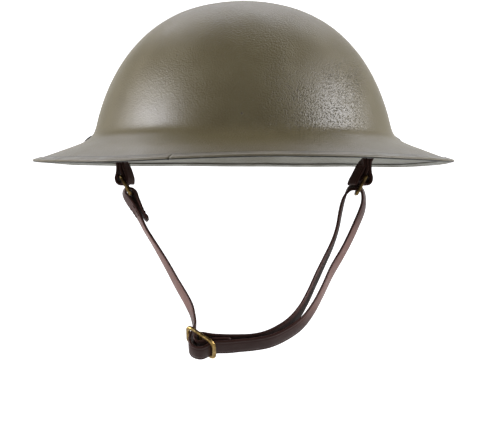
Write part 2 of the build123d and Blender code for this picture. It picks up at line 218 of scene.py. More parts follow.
# =====================================================================  materials
class Mat:
    def __init__(self, name, **sockets):
        self.m = bpy.data.materials.new(name)
        self.m.use_nodes = True
        self.nt = self.m.node_tree
        self.b = self.nt.nodes["Principled BSDF"]
        for k, v in sockets.items():
            self.b.inputs[k.replace("_", " ")].default_value = v
        self.tc = self.nt.nodes.new("ShaderNodeTexCoord")
        self.co = self.tc.outputs["Object"]

    def n(self, kind, **props):
        node = self.nt.nodes.new(kind)
        for k, v in props.items():
            if k.startswith("i_"):
                node.inputs[k[2:].replace("_", " ")].default_value = v
            else:
                setattr(node, k, v)
        return node

    def l(self, a, b):
        self.nt.links.new(a, b)

    def mapping(self, scale=(1, 1, 1), rot=(0, 0, 0), loc=(0, 0, 0), src=None):
        mp = self.n("ShaderNodeMapping")
        mp.inputs["Scale"].default_value = scale
        mp.inputs["Rotation"].default_value = rot
        mp.inputs["Location"].default_value = loc
        self.l(src or self.co, mp.inputs["Vector"])
        return mp.outputs["Vector"]

    def noise(self, scale, detail=3.0, rough=0.5, dist=0.0, src=None, color=False):
        nz = self.n("ShaderNodeTexNoise")
        nz.inputs["Scale"].default_value = scale
        nz.inputs["Detail"].default_value = detail
        nz.inputs["Roughness"].default_value = rough
        nz.inputs["Distortion"].default_value = dist
        self.l(src or self.co, nz.inputs["Vector"])
        return nz.outputs["Color" if color else "Fac"]

    def voronoi(self, scale, feature="F1", src=None, rand=1.0):
        v = self.n("ShaderNodeTexVoronoi", feature=feature)
        v.inputs["Scale"].default_value = scale
        v.inputs["Randomness"].default_value = rand
        self.l(src or self.co, v.inputs["Vector"])
        return v.outputs["Distance"]

    def ramp(self, fac, stops, interp="LINEAR"):
        r = self.n("ShaderNodeValToRGB")
        r.color_ramp.interpolation = interp
        els = r.color_ramp.elements
        while len(els) < len(stops):
            els.new(0.5)
        for e, (p, c) in zip(els, stops):
            e.position = p
            e.color = tuple(c) + (1.0,) if not isinstance(c, (int, float)) else (c, c, c, 1.0)
        self.l(fac, r.inputs["Fac"])
        return r.outputs["Color"]

    def mix(self, fac, a, b, mode="MIX"):
        x = self.n("ShaderNodeMix", data_type="RGBA", blend_type=mode)
        for sock, v in ((x.inputs["Factor"], fac), (x.inputs["A"], a), (x.inputs["B"], b)):
            if isinstance(v, (int, float)):
                sock.default_value = v if sock.type == "VALUE" else (v, v, v, 1)
            elif isinstance(v, tuple):
                sock.default_value = v + (1.0,) if len(v) == 3 else v
            else:
                self.l(v, sock)
        # the colour sockets are the third pair of A and B
        return x

    def rgbmix(self, fac, a, b, mode="MIX"):
        x = self.n("ShaderNodeMixRGB", blend_type=mode)
        for sock, v in zip((x.inputs["Fac"], x.inputs["Color1"], x.inputs["Color2"]), (fac, a, b)):
            if isinstance(v, (int, float)):
                sock.default_value = v if sock.name == "Fac" else (v, v, v, 1)
            elif isinstance(v, tuple):
                sock.default_value = tuple(v) + (1.0,) if len(v) == 3 else v
            else:
                self.l(v, sock)
        return x.outputs["Color"]

    def math(self, op, a, b=0.0, clamp=False):
        x = self.n("ShaderNodeMath", operation=op, use_clamp=clamp)
        for sock, v in zip(x.inputs, (a, b)):
            if isinstance(v, (int, float)):
                sock.default_value = v
            else:
                self.l(v, sock)
        return x.outputs["Value"]

    def maprange(self, v, a, b, c=0.0, d=1.0, smooth=False):
        x = self.n("ShaderNodeMapRange", interpolation_type="SMOOTHSTEP" if smooth else "LINEAR", clamp=True)
        for k, q in zip(("From Min", "From Max", "To Min", "To Max"), (a, b, c, d)):
            x.inputs[k].default_value = q
        self.l(v, x.inputs["Value"])
        return x.outputs["Result"]

    def xyz(self, src=None):
        s = self.n("ShaderNodeSeparateXYZ")
        self.l(src or self.co, s.inputs["Vector"])
        return s.outputs

    def attr(self, name):
        a = self.n("ShaderNodeAttribute", attribute_name=name)
        return a.outputs

    def color(self, out):
        self.l(out, self.b.inputs["Base Color"])

    def rough(self, out):
        self.l(out, self.b.inputs["Roughness"])

    def bump(self, height, strength=0.3, distance=0.0005, base=None):
        b = self.n("ShaderNodeBump")
        b.inputs["Strength"].default_value = strength
        b.inputs["Distance"].default_value = distance
        self.l(height, b.inputs["Height"])
        if base is not None:
            self.l(base, b.inputs["Normal"])
        self.l(b.outputs["Normal"], self.b.inputs["Normal"])
        return b.outputs["Normal"]


def paint_material():
    """Matt brown-green paint over steel: orange-peel grain, pits, drips of tone, worn specks."""
    k = Mat("paint_olive", Roughness=0.5, Specular_IOR_Level=0.55)
    big = k.noise(14.0, 3, 0.55)
    mid = k.noise(60.0, 4, 0.6)
    fine = k.noise(700.0, 3, 0.6)
    base = k.ramp(big, [(0.30, (0.118, 0.096, 0.046)), (0.70, (0.146, 0.121, 0.061))])
    base = k.rgbmix(0.35, base, k.ramp(mid, [(0.3, (0.104, 0.084, 0.039)), (0.7, (0.160, 0.135, 0.073))]))
    xyz0 = k.xyz()
    rad = k.math("SQRT", k.math("ADD", k.math("MULTIPLY", xyz0["X"], xyz0["X"]), k.math("MULTIPLY", k.math("MULTIPLY", xyz0["Y"], xyz0["Y"]), 0.86533)))
    # painted shade: a dark band on the shell just inside the binding's flange, standing in for the shadowed groove
    # between them
    seam = k.maprange(k.math("ABSOLUTE", k.math("SUBTRACT", rad, 0.1388)), 0.0011, 0.0024, 1.0, 0.0)
    base = k.rgbmix(k.math("MULTIPLY", seam, 0.88), base, (0.022, 0.018, 0.013))
    # painted light: the flat of the brim, which faces the light above, is painted greyer than the bowl
    brim = k.maprange(rad, 0.118, 0.136, 0.0, 1.0, smooth=True)
    base = k.rgbmix(k.math("MULTIPLY", brim, 0.45), base, (0.108, 0.092, 0.062))
    # the front of the flare and brim is handled least and stays the mattest
    front = k.math("MULTIPLY", k.maprange(rad, 0.090, 0.104, 0.0, 1.0, smooth=True), k.maprange(k.math("ABSOLUTE", xyz0["X"]), 0.015, 0.058, 1.0, 0.0, smooth=True))
    k.l(k.maprange(front, 0.0, 1.0, 0.56, 0.24), k.b.inputs["Specular IOR Level"])
    base = k.rgbmix(k.math("MULTIPLY", front, 0.30), base, (0.118, 0.096, 0.052))
    # coarse dark specks where the grit in the paint shows
    gritv = k.voronoi(900.0)
    grit = k.math("MULTIPLY", k.maprange(gritv, 0.22, 0.42, 1.0, 0.0), k.maprange(k.noise(420.0, 2, 0.6), 0.38, 0.50, 0.0, 1.0))
    gside = k.maprange(xyz0["X"], 0.004, 0.046, 0.0, 1.0, smooth=True)
    gpatch = k.maprange(k.noise(24.0, 3), 0.40, 0.60, 0.35, 1.0)
    gfar = k.maprange(xyz0["X"], 0.072, 0.088, 1.0, 0.10, smooth=True)
    gtop = k.maprange(xyz0["Z"], 0.050, 0.078, 1.0, 0.12, smooth=True)
    glow_ = k.maprange(xyz0["Z"], 0.012, 0.020, 0.0, 1.0, smooth=True)
    zone = k.math("MULTIPLY", k.math("MULTIPLY", gside, gfar), k.math("MULTIPLY", gtop, glow_))
    grit = k.math("MULTIPLY", grit, k.math("MULTIPLY", zone, gpatch))
    base = k.rgbmix(k.math("MULTIPLY", grit, 0.85), base, (0.030, 0.026, 0.018))
    # worn high grains a little lighter
    grain = k.voronoi(620.0)
    base = k.rgbmix(k.math("MULTIPLY", k.maprange(grain, 0.0, 0.35, 1.0, 0.0), 0.25), base, (0.19, 0.175, 0.135))
    # dark pits
    pitv = k.voronoi(75.0)
    pit = k.maprange(pitv, 0.035, 0.07, 1.0, 0.0)
    pitmask = k.maprange(k.noise(30.0, 2), 0.56, 0.64, 0.0, 1.0)
    pit = k.math("MULTIPLY", pit, pitmask)
    base = k.rgbmix(pit, base, (0.045, 0.038, 0.028))
    k.color(base)
    k.rough(k.maprange(k.math("ADD", k.math("MULTIPLY", mid, 0.6), k.math("MULTIPLY", fine, 0.4)), 0.3, 0.7, 0.36, 0.48))
    # grain: coarser on the wearer's left half and the crown's front right, gentle elsewhere
    s = k.xyz()
    side = k.maprange(s["X"], -0.062, -0.018, 0.30, 0.80, smooth=True)
    calm = k.maprange(s["X"], 0.070, 0.090, 1.0, 0.30, smooth=True)
    patch = k.maprange(k.noise(22.0, 2), 0.35, 0.65, 0.45, 1.2)
    peel = k.voronoi(900.0)
    peel2 = k.noise(760.0, 2.0, 0.5)
    h = k.math("ADD", k.math("MULTIPLY", peel, 0.35), k.math("MULTIPLY", peel2, 0.75))
    h = k.math("MULTIPLY", h, k.math("MULTIPLY", side, k.math("MULTIPLY", patch, calm)))
    ease = k.maprange(zone, 0.15, 0.8, 1.0, 0.55)
    h = k.math("MULTIPLY", h, ease)
    h = k.math("SUBTRACT", h, k.math("MULTIPLY", grit, 0.5))
    h = k.math("SUBTRACT", h, k.math("MULTIPLY", pit, 0.6))
    k.bump(h, 0.9, 0.0007)
    return k.m


def rim_material():
    k = Mat("paint_rim", Roughness=0.46)
    big = k.noise(24.0, 3, 0.55)
    base = k.ramp(big, [(0.30, (0.122, 0.103, 0.062)), (0.70, (0.160, 0.138, 0.090))])
    # fine scratches that run round the rim: stretch the turn angle
    s = k.xyz()
    ang = k.math("ARCTAN2", s["Y"], s["X"])
    rad = k.math("SQRT", k.math("ADD", k.math("MULTIPLY", s["X"], s["X"]), k.math("MULTIPLY", k.math("MULTIPLY", s["Y"], s["Y"]), 0.865)))
    cmb = k.n("ShaderNodeCombineXYZ")
    k.l(k.math("MULTIPLY", ang, 3.0), cmb.inputs["X"])
    k.l(k.math("MULTIPLY", rad, 1600.0), cmb.inputs["Y"])
    k.l(k.math("MULTIPLY", s["Z"], 900.0), cmb.inputs["Z"])
    scr = k.noise(2.2, 3, 0.6, src=cmb.outputs["Vector"])
    line = k.maprange(scr, 0.60, 0.70, 0.0, 1.0)
    base = k.rgbmix(k.math("MULTIPLY", line, 0.5), base, (0.050, 0.042, 0.030))
    wear = k.maprange(k.noise(180.0, 4, 0.65), 0.60, 0.72, 0.0, 1.0)
    base = k.rgbmix(k.math("MULTIPLY", wear, 0.55), base, (0.235, 0.215, 0.170))
    # painted shade along the flange's inner end where it meets the shell, a worn line outside it, and painted black
    # shade on the under edge at the front
    for r0, wide_, deep in ((140.1, 0.00070, 0.85), (142.5, 0.00085, 0.70)):
        wander = k.math("MULTIPLY", k.math("SUBTRACT", k.noise(14.0, 2), 0.5), 0.0008)
        d = k.math("ABSOLUTE", k.math("SUBTRACT", k.math("ADD", rad, wander), r0 * 0.001))
        ln = k.math("MULTIPLY", k.maprange(d, wide_ * 0.5, wide_, deep, 0.0), k.maprange(k.noise(35.0, 3), 0.36, 0.52, 0.35, 1.0))
        base = k.rgbmix(ln, base, (0.022, 0.018, 0.013))
    bright = k.math("MAXIMUM", k.maprange(k.math("ABSOLUTE", k.math("SUBTRACT", rad, 0.1412)), 0.0003, 0.0008, 0.50, 0.0), k.maprange(k.math("ABSOLUTE", k.math("SUBTRACT", rad, 0.1439)), 0.0004, 0.0010, 0.60, 0.0))
    base = k.rgbmix(bright, base, (0.235, 0.215, 0.165))
    # painted shade: the lower half of the binding's section is darkened on the front half, for the shadow under the
    # front rim
    under = k.maprange(k.attr("rimv")["Fac"], 0.40, 0.62, 0.0, 1.0, smooth=True)
    near = k.maprange(s["Y"], -0.020, 0.020, 1.0, 0.0, smooth=True)
    base = k.rgbmix(k.math("MULTIPLY", k.math("MULTIPLY", under, near), 0.97), base, (0.008, 0.007, 0.005))
    k.color(base)
    k.rough(k.maprange(k.noise(90.0, 3), 0.3, 0.7, 0.36, 0.54))
    h = k.math("SUBTRACT", k.math("MULTIPLY", k.noise(480.0, 2.5), 0.5), k.math("MULTIPLY", line, 0.5))
    k.bump(h, 0.55, 0.0004)
    return k.m


def steel_material(name, dark=1.0):
    k = Mat(name, Metallic=0.85, Roughness=0.45)
    n1 = k.noise(160.0, 4, 0.6)
    base = k.ramp(n1, [(0.3, tuple(c * dark for c in (0.085, 0.075, 0.065))), (0.7, tuple(c * dark for c in (0.23, 0.21, 0.185)))])
    rust = k.maprange(k.noise(90.0, 4, 0.65), 0.56, 0.68, 0.0, 1.0)
    base = k.rgbmix(k.math("MULTIPLY", rust, 0.45), base, (0.085, 0.045, 0.025))
    k.color(base)
    k.rough(k.maprange(n1, 0.3, 0.7, 0.62, 0.36))
    k.bump(k.noise(700.0, 3), 0.25, 0.0002)
    return k.m


def brass_material(name="brass_aged", dull=0.55):
    k = Mat(name, Metallic=1.0, Roughness=0.3)
    n1 = k.noise(260.0, 4, 0.6)
    base = k.ramp(n1, [(0.28, (0.235, 0.135, 0.040)), (0.52, (0.52, 0.345, 0.115)), (0.75, (0.74, 0.53, 0.22))])
    worn = k.maprange(k.noise(110.0, 3, 0.6), 0.66 - 0.25 * dull, 0.80 - 0.25 * dull, 0.0, 1.0)
    base = k.rgbmix(k.math("MULTIPLY", worn, dull), base, (0.085, 0.052, 0.022))
    # the darkest copy, used on the rings, is partly heavier tarnish and partly painted shade for the shadow they sit
    # in under the brim
    if dull > 0.8:
        base = k.rgbmix(0.42, base, (0.055, 0.036, 0.018))
    k.color(base)
    k.rough(k.maprange(k.noise(320.0, 4), 0.3, 0.7, 0.22, 0.46))
    k.bump(k.noise(900.0, 3), 0.3, 0.00018)
    return k.m


def leather_material(name="leather_strap", tone=1.0, inside=False):
    """Vegetable-tanned strap leather: fine pores, long soft streaks, darker burnished edges."""
    k = Mat(name, Roughness=0.40, Specular_IOR_Level=0.27)
    at = k.attr("strap")            # x: along in mm, y: across -1..1, z: 1 on the outer face, 0 edge, -1 inner
    sp = k.n("ShaderNodeSeparateXYZ")
    k.l(at["Vector"], sp.inputs["Vector"])
    along, across, face = sp.outputs["X"], sp.outputs["Y"], sp.outputs["Z"]
    n1 = k.noise(55.0, 4, 0.6)
    base = k.ramp(n1, [(0.30, tuple(tone * c for c in (0.046, 0.0190, 0.0145))), (0.70, tuple(tone * c for c in (0.086, 0.0375, 0.0290)))])
    cmb = k.n("ShaderNodeCombineXYZ")
    k.l(k.math("MULTIPLY", along, 0.05), cmb.inputs["X"])
    k.l(k.math("MULTIPLY", across, 4.0), cmb.inputs["Y"])
    streak = k.noise(2.5, 3, 0.6, src=cmb.outputs["Vector"])
    base = k.rgbmix(0.45, base, k.ramp(streak, [(0.32, tuple(tone * c for c in (0.036, 0.0135, 0.0105))), (0.68, tuple(tone * c for c in (0.105, 0.044, 0.0330)))]))
    edge = k.maprange(k.math("ABSOLUTE", across), 0.86, 0.99, 0.0, 1.0, smooth=True)
    base = k.rgbmix(k.math("MULTIPLY", edge, 0.55), base, (0.022, 0.010, 0.008))
    # flesh side is paler and rougher
    flesh = k.maprange(face, -0.2, -0.8, 0.0, 1.0)
    base = k.rgbmix(k.math("MULTIPLY", flesh, 0.35), base, (0.075, 0.036, 0.026))
    # rubbed spots
    rub = k.maprange(k.noise(38.0, 4, 0.7), 0.58, 0.70, 0.0, 1.0)
    base = k.rgbmix(k.math("MULTIPLY", rub, 0.22), base, (0.135, 0.066, 0.048))
    # painted highlight: the legs' outer face is painted paler and redder where the side lights catch it; painted
    # shade: the chin run is painted darker
    zz = k.xyz()["Z"]
    leg = k.math("MULTIPLY", k.maprange(zz, -0.118, -0.096, 0.0, 1.0, smooth=True), k.maprange(zz, -0.050, -0.034, 1.0, 0.0, smooth=True))
    pale = k.math("MULTIPLY", leg, k.math("MULTIPLY", k.maprange(face, 0.0, 0.6, 0.0, 1.0), k.maprange(k.noise(30.0, 3), 0.3, 0.6, 0.55, 1.0)))
    base = k.rgbmix(k.math("MULTIPLY", pale, 0.74), base, (0.245, 0.134, 0.108))
    # painted shade on the downward-facing chin run, below the legs
    base = k.rgbmix(k.maprange(zz, -0.116, -0.100, 0.78, 0.0, smooth=True), base, (0.024, 0.0085, 0.0062))
    k.color(base)
    r = k.maprange(k.noise(120.0, 3), 0.3, 0.7, 0.34, 0.50)
    r = k.math("ADD", r, k.math("MULTIPLY", flesh, 0.22))
    k.rough(r)
    pore = k.voronoi(1500.0)
    wr = k.noise(520.0, 3, 0.6)
    crease = k.n("ShaderNodeTexWave", wave_type="BANDS", bands_direction="X")
    crease.inputs["Scale"].default_value = 0.55
    crease.inputs["Distortion"].default_value = 6.0
    crease.inputs["Detail"].default_value = 3.0
    cmb2 = k.n("ShaderNodeCombineXYZ")
    k.l(along, cmb2.inputs["X"])
    k.l(k.math("MULTIPLY", across, 1.2), cmb2.inputs["Y"])
    k.l(cmb2.outputs["Vector"], crease.inputs["Vector"])
    h = k.math("ADD", k.math("MULTIPLY", k.maprange(pore, 0.0, 0.4), 0.35), k.math("MULTIPLY", wr, 0.6))
    h = k.math("ADD", h, k.math("MULTIPLY", crease.outputs["Fac"], 0.10))
    k.bump(h, 0.35, 0.00022)
    k.b.inputs["Specular Tint"].default_value = (1.0, 0.74, 0.68, 1.0)
    k.b.inputs["Sheen Weight"].default_value = 0.05
    k.b.inputs["Sheen Roughness"].default_value = 0.45
    k.b.inputs["Sheen Tint"].default_value = (1.0, 0.80, 0.76, 1.0)
    return k.m


def thread_material(name, c0, c1, tight=3200.0):
    k = Mat(name, Roughness=0.8, Specular_IOR_Level=0.25)
    n1 = k.noise(tight, 3, 0.6)
    k.color(k.ramp(n1, [(0.3, c0), (0.7, c1)]))
    k.bump(n1, 0.5, 0.00015)
    return k.m


def twine_material():
    """Laid cotton twine: slanting strands from the cord's own coordinates."""
    k = Mat("twine", Roughness=0.85, Specular_IOR_Level=0.2)
    at = k.attr("cord")             # x: along in mm, y: turn 0..1
    sp = k.n("ShaderNodeSeparateXYZ")
    k.l(at["Vector"], sp.inputs["Vector"])
    ph = k.math("ADD", k.math("MULTIPLY", sp.outputs["X"], 0.55), k.math("MULTIPLY", sp.outputs["Y"], 3.0))
    saw = k.math("FRACT", ph)
    lay = k.math("MULTIPLY", k.math("ABSOLUTE", k.math("SUBTRACT", saw, 0.5)), 2.0)
    n1 = k.noise(420.0, 4, 0.65)
    n2 = k.noise(28.0, 3, 0.6)
    base = k.ramp(n1, [(0.3, (0.27, 0.20, 0.12)), (0.7, (0.46, 0.37, 0.25))])
    base = k.rgbmix(0.4, base, k.ramp(n2, [(0.35, (0.20, 0.145, 0.085)), (0.65, (0.48, 0.40, 0.28))]))
    base = k.rgbmix(k.math("MULTIPLY", lay, 0.55), base, (0.13, 0.09, 0.05))
    k.color(base)
    k.bump(k.math("ADD", k.math("MULTIPLY", lay, -0.8), k.math("MULTIPLY", n1, 0.4)), 0.6, 0.0003)
    return k.m


def oilcloth_material():
    """Black waxed cloth: fine plain weave under a dull shine, cracked and dusty in the folds."""
    k = Mat("oilcloth", Roughness=0.4, Specular_IOR_Level=0.45)
    s = k.xyz()
    ang = k.math("ARCTAN2", s["Y"], s["X"])
    u = k.math("SINE", k.math("MULTIPLY", ang, 1400.0))
    v = k.math("SINE", k.math("MULTIPLY", s["Z"], 14000.0))
    weave = k.math("MULTIPLY", u, v)
    n1 = k.noise(45.0, 4, 0.6)
    base = k.ramp(n1, [(0.3, (0.013, 0.012, 0.011)), (0.7, (0.034, 0.030, 0.025))])
    dust = k.maprange(k.noise(75.0, 5, 0.7), 0.54, 0.68, 0.0, 1.0)
    base = k.rgbmix(k.math("MULTIPLY", dust, 0.35), base, (0.105, 0.088, 0.066))
    crack = k.voronoi(120.0, feature="DISTANCE_TO_EDGE")
    cr = k.maprange(crack, 0.0, 0.03, 1.0, 0.0)
    crm = k.maprange(k.noise(18.0, 2), 0.5, 0.6, 0.0, 1.0)
    cr = k.math("MULTIPLY", cr, crm)
    base = k.rgbmix(k.math("MULTIPLY", cr, 0.5), base, (0.15, 0.125, 0.09))
    k.color(base)
    k.rough(k.maprange(k.math("ADD", n1, k.math("MULTIPLY", dust, 0.3)), 0.3, 0.9, 0.30, 0.62))
    k.bump(k.math("SUBTRACT", k.math("ADD", k.math("MULTIPLY", weave, 0.15), k.math("MULTIPLY", k.noise(240.0, 3), 0.8)), k.math("MULTIPLY", cr, 0.5)), 0.35, 0.0003)
    return k.m


def rubber_material():
    k = Mat("rubber", Roughness=0.6, Specular_IOR_Level=0.4)
    n1 = k.noise(120.0, 4, 0.6)
    base = k.ramp(n1, [(0.3, (0.026, 0.021, 0.018)), (0.7, (0.055, 0.046, 0.038))])
    bloom = k.maprange(k.noise(160.0, 5, 0.7), 0.52, 0.7, 0.0, 1.0)
    k.color(k.rgbmix(k.math("MULTIPLY", bloom, 0.4), base, (0.13, 0.115, 0.095)))
    k.rough(k.maprange(n1, 0.3, 0.7, 0.5, 0.75))
    k.bump(k.noise(800.0, 3), 0.3, 0.0002)
    return k.m


def felt_material():
    k = Mat("felt", Roughness=0.95, Specular_IOR_Level=0.1)
    fib = k.noise(950.0, 5, 0.75, 1.2)
    n1 = k.noise(60.0, 3, 0.6)
    base = k.ramp(fib, [(0.3, (0.16, 0.125, 0.09)), (0.7, (0.34, 0.285, 0.215))])
    base = k.rgbmix(0.35, base, k.ramp(n1, [(0.35, (0.14, 0.11, 0.08)), (0.65, (0.32, 0.27, 0.2))]))
    k.color(base)
    k.bump(k.math("ADD", fib, k.math("MULTIPLY", k.noise(2400.0, 3), 0.6)), 0.8, 0.0005)
    k.b.inputs["Sheen Weight"].default_value = 0.3
    k.b.inputs["Sheen Roughness"].default_value = 0.6
    return k.m


PAINT, RIM = paint_material(), rim_material()
STEEL, DARK = steel_material("steel_dull"), steel_material("steel_dark", 0.45)
BRASS, LEATHER = brass_material(), leather_material()
BRASS_DULL_SHADED = brass_material("brass_tarnished_shaded", 0.92)
TWINE, OILCLOTH, RUBBER, FELT = twine_material(), oilcloth_material(), rubber_material(), felt_material()
THREAD = thread_material("thread_waxed", (0.030, 0.016, 0.011), (0.085, 0.052, 0.036))
THREAD_PALE = thread_material("thread_linen", (0.26, 0.20, 0.13), (0.46, 0.38, 0.27))

# =====================================================================  shell and rim
LONG = 1.075
OUTER = [
    (0, 110.6), (12.5, 110.0), (25.5, 107.9), (38.0, 104.4), (50.6, 98.9),
    (62.0, 91.7), (73.9, 80.9), (82.9, 69.7), (89.9, 58.0), (95.1, 46.8),
    (98.9, 36.2), (101.3, 27.5), (102.9, 20.9), (104.6, 16.9), (107.6, 13.9),
    (112.0, 11.5), (119.0, 9.0), (126.5, 6.7), (133.0, 4.6),
]
SLOPE = math.radians(16.9)
E = np.array([math.cos(SLOPE), -math.sin(SLOPE)])
NB = np.array([math.sin(SLOPE), math.cos(SLOPE)])
EDGE_TOP = np.array(OUTER[-1]) + E * 12.7
PROF = cubic(OUTER, (1, 0), tuple(E), 150)
PROF = np.vstack([PROF, [PROF[-1] + E * 12.7 * t for t in np.linspace(0.1, 1.0, 10)]])
for _ in range(7):
    PROF[1:-1] = PROF[1:-1] * 0.5 + (PROF[:-2] + PROF[2:]) * 0.25
PNRM = normals2(PROF)


def dome(gap, rp):
    """Height of the surface a fixed gap inside the shell's outer face, at plan radius rp."""
    q = PROF - PNRM * gap
    k = len(OUTER)
    n = 118
    return float(np.interp(rp, q[:n, 0], q[:n, 1]))


# how the brim's edge rises and falls round the rim: turn in degrees from +X, height in mm
WAVE = [(0, -1.2), (15, -1.8), (32, -2.1), (45, -1.6), (62, -0.7), (90, 0.2), (120, -0.2), (135, -0.5), (151, -0.8), (166, -0.6),
        (180, -0.3), (191, -1.4), (202, -3.0), (224.7, -4.6), (246, -4.0), (252, -3.6), (259, -2.85), (270, -2.3), (284, -1.5), (294.5, -1.6),
        (308.5, -2.3), (318, -2.5), (334.6, -2.4), (348, -1.7), (360, -1.2)]
_a = np.arange(0, 360, 1.0)
_w = np.interp(_a, [p[0] for p in WAVE], [p[1] for p in WAVE])
_k = np.exp(-0.5 * (np.arange(-18, 19) / 5.0) ** 2)
_w = np.convolve(np.concatenate([_w[-18:], _w, _w[:18]]), _k / _k.sum(), "valid")
_w = _w + 0.16 * np.sin(np.radians(_a * 7 + 40)) + 0.10 * np.sin(np.radians(_a * 13 + 110))


def wave(turn, r):
    t = min(1.0, max(0.0, (r - 106.0) / 39.0))
    t = t * t * (3 - 2 * t)
    a = math.degrees(turn) % 360.0
    i = int(a)
    f = a - i
    return t * float(_w[i % 360] * (1 - f) + _w[(i + 1) % 360] * f)


def place(turn, r, z):
    """Plan radius and height to the oval, waved shell."""
    return (r * math.cos(turn), r * math.sin(turn) * LONG, z + wave(turn, r))


SEG = 288
s = Soup()
outer = [(max(r, 0.0), z) for r, z in PROF]
inner = [tuple(PROF[i] - PNRM[i] * 1.0) for i in range(len(PROF))]
first = next(i for i, p in enumerate(outer) if p[0] > 2.2)
loop = [(2.15, outer[first][1])] + outer[first:] + inner[first:][::-1] + [(2.15, inner[first][1])]
rows = []
for k in range(SEG):
    t = 2 * math.pi * k / SEG
    row = []
    for r, z in loop:
        x, y, zz = place(t, r, z)
        d = 0.16 * fbm((x, y, zz), 34.0, 2, 3.1) + 0.05 * fbm((x, y, zz), 11.0, 2, 9.4)
        d *= min(1.0, r / 30.0)
        rr = math.hypot(x, y) + 1e-6
        zz -= 0.45 * max(0.0, 1 - (r / 50.0) ** 2) ** 2
        row.append((x + d * x / rr * 0.7, y + d * y / rr * 0.7, zz + d * 0.7))
    rows.append(row)
s.grid(rows, closed_u=True, closed_v=True)
shell = s.obj("shell_pressed", PAINT)
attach(shell, "helmet")
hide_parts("shell")

# folded binding with its butt joint front left
TIP = EDGE_TOP - NB * 0.5 + E * 0.1
ro, ri, back = 1.03, 0.53, 5.6
sec = [(-back, ro - 0.16), (-back + 0.18, ro)]
sec += [(-back + 0.18 + (back - 0.18) * t, ro) for t in (0.25, 0.5, 0.75)]
sec += [(ro * math.sin(t), ro * math.cos(t)) for t in np.linspace(0, math.pi, 15)]
sec += [(-(back - 0.18) * t, -ro) for t in (0.25, 0.5, 0.75, 1.0)]
sec += [(-back, -ro + 0.16), (-back, -ri)]
sec += [(-back * t, -ri) for t in (0.75, 0.5, 0.25)]
sec += [(ri * math.sin(t), ri * math.cos(t)) for t in np.linspace(math.pi, 0, 9)]
sec += [(-back * t, ri) for t in (0.25, 0.5, 0.75, 1.0)]
JOINT = math.radians(251.3)
s = Soup()
rows = []
RSEG = 540
for k in range(RSEG + 1):
    f = k / RSEG
    t = JOINT + math.radians(0.13) + f * math.radians(359.74)
    edge_in = 0.30 * mn.noise(Vector((math.cos(t) * 9, math.sin(t) * 9, 1.7))) + 0.12 * mn.noise(Vector((math.cos(t) * 30, math.sin(t) * 30, 5.2)))
    lift = 0.0
    end = min(f, 1 - f) * 2 * math.pi * 145      # mm from the joint
    if end < 5.0:
        lift = (0.12 if f < 0.5 else 0.05) * (1 - end / 5.0) ** 2
    row = []
    for u, v in sec:
        uu = u + (edge_in if u < -3.5 else edge_in * max(0.0, (-u - 1.0) / 2.5) if u < -1.0 else 0.0)
        if end < 0.8:
            uu = uu + (0.8 - end) * (0.25 if u < -4.5 else (-0.12 if u > 0.5 else 0.0))
        p = TIP + E * uu + NB * (v + lift * (1 if v > 0 else -0.4))
        row.append(place(t, p[0], p[1]))
    rows.append(row)
s.grid(rows, closed_v=True, caps=True)
rim = s.obj("rim_binding", RIM)
lay = rim.data.attributes.new("rimv", "FLOAT", "POINT")
lay.data.foreach_set("value", [0.5 - 0.5 * v / ro for _ in range(RSEG + 1) for u, v in sec])
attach(rim, "helmet")
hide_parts("brim_rim")

# =====================================================================  rivets, clips, bails
RIVET_P = np.array([105.35, 15.55])
RIVET_N = np.array([0.777, 0.629])
RIVET_T = np.array([-0.629, 0.777])


def head_profile(r, h):
    out = [(r, 0.0), (r * 1.01, 0.22)]
    for t in np.linspace(0.12, 1.0, 9):
        a = t * math.pi / 2
        out.append((r * math.cos(a) * 1.0, 0.22 + (h - 0.22) * math.sin(a)))
    return out


for sx, side in ((-1, "left"), (1, "right")):
    n3 = np.array([sx * RIVET_N[0], 0, RIVET_N[1]])
    t3 = np.array([sx * RIVET_T[0], 0, RIVET_T[1]])
    c = np.array([sx * RIVET_P[0], 0, RIVET_P[1]])
    s = Soup()
    # the head sits a little lower on the flare than the legs inside
    kh = int(np.argmin(np.abs(PROF[:, 0] - 107.2)))
    hc = np.array([sx * PROF[kh][0], 0, PROF[kh][1]])
    hn = np.array([sx * PNRM[kh][0], 0, PNRM[kh][1]])
    prof = [(0.0, -0.9), (2.0, -0.9), (2.0, -0.3), (4.0, -0.3)] + head_profile(4.3, 1.6 if sx < 0 else 1.0)
    s.lathe([(r, h) for r, h in prof], hc + hn * 0.05, hn, 44)
    s.lathe([(0.0, -4.0), (2.0, -4.0), (2.0, -1.0), (0.0, -1.0)], c + n3 * 0.05, n3, 32)
    # two split legs bent flat against the clip inside
    q = c - n3 * (1.0 + 0.3 + 2.0 + 0.15)
    for d in (-1, 1):
        path = []
        for i in range(13):
            f = i / 12
            out = 0.6 + 5.2 * f
            drop = 0.45 + 0.15 * math.sin(f * math.pi) + 0.25 * f * f
            path.append((q + np.array([0, d * out, 0]) - n3 * drop))
        wid = [1.55 - 0.7 * (i / 12) ** 3 for i in range(13)]
        rows = []
        for p, w in zip(path, wid):
            row = []
            for a in np.linspace(0, 2 * math.pi, 12, endpoint=False):
                row.append(p + t3 * w * math.cos(a) + n3 * 0.42 * math.sin(a))
            rows.append(row)
        if d > 0:
            rows = [r[::-1] for r in rows]
        s.grid(rows, closed_v=True, caps=True)
    ob = s.obj(f"split_rivet_{side}", DARK)
    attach(ob, "helmet")
    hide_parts(f"bail_rivet_{side}")

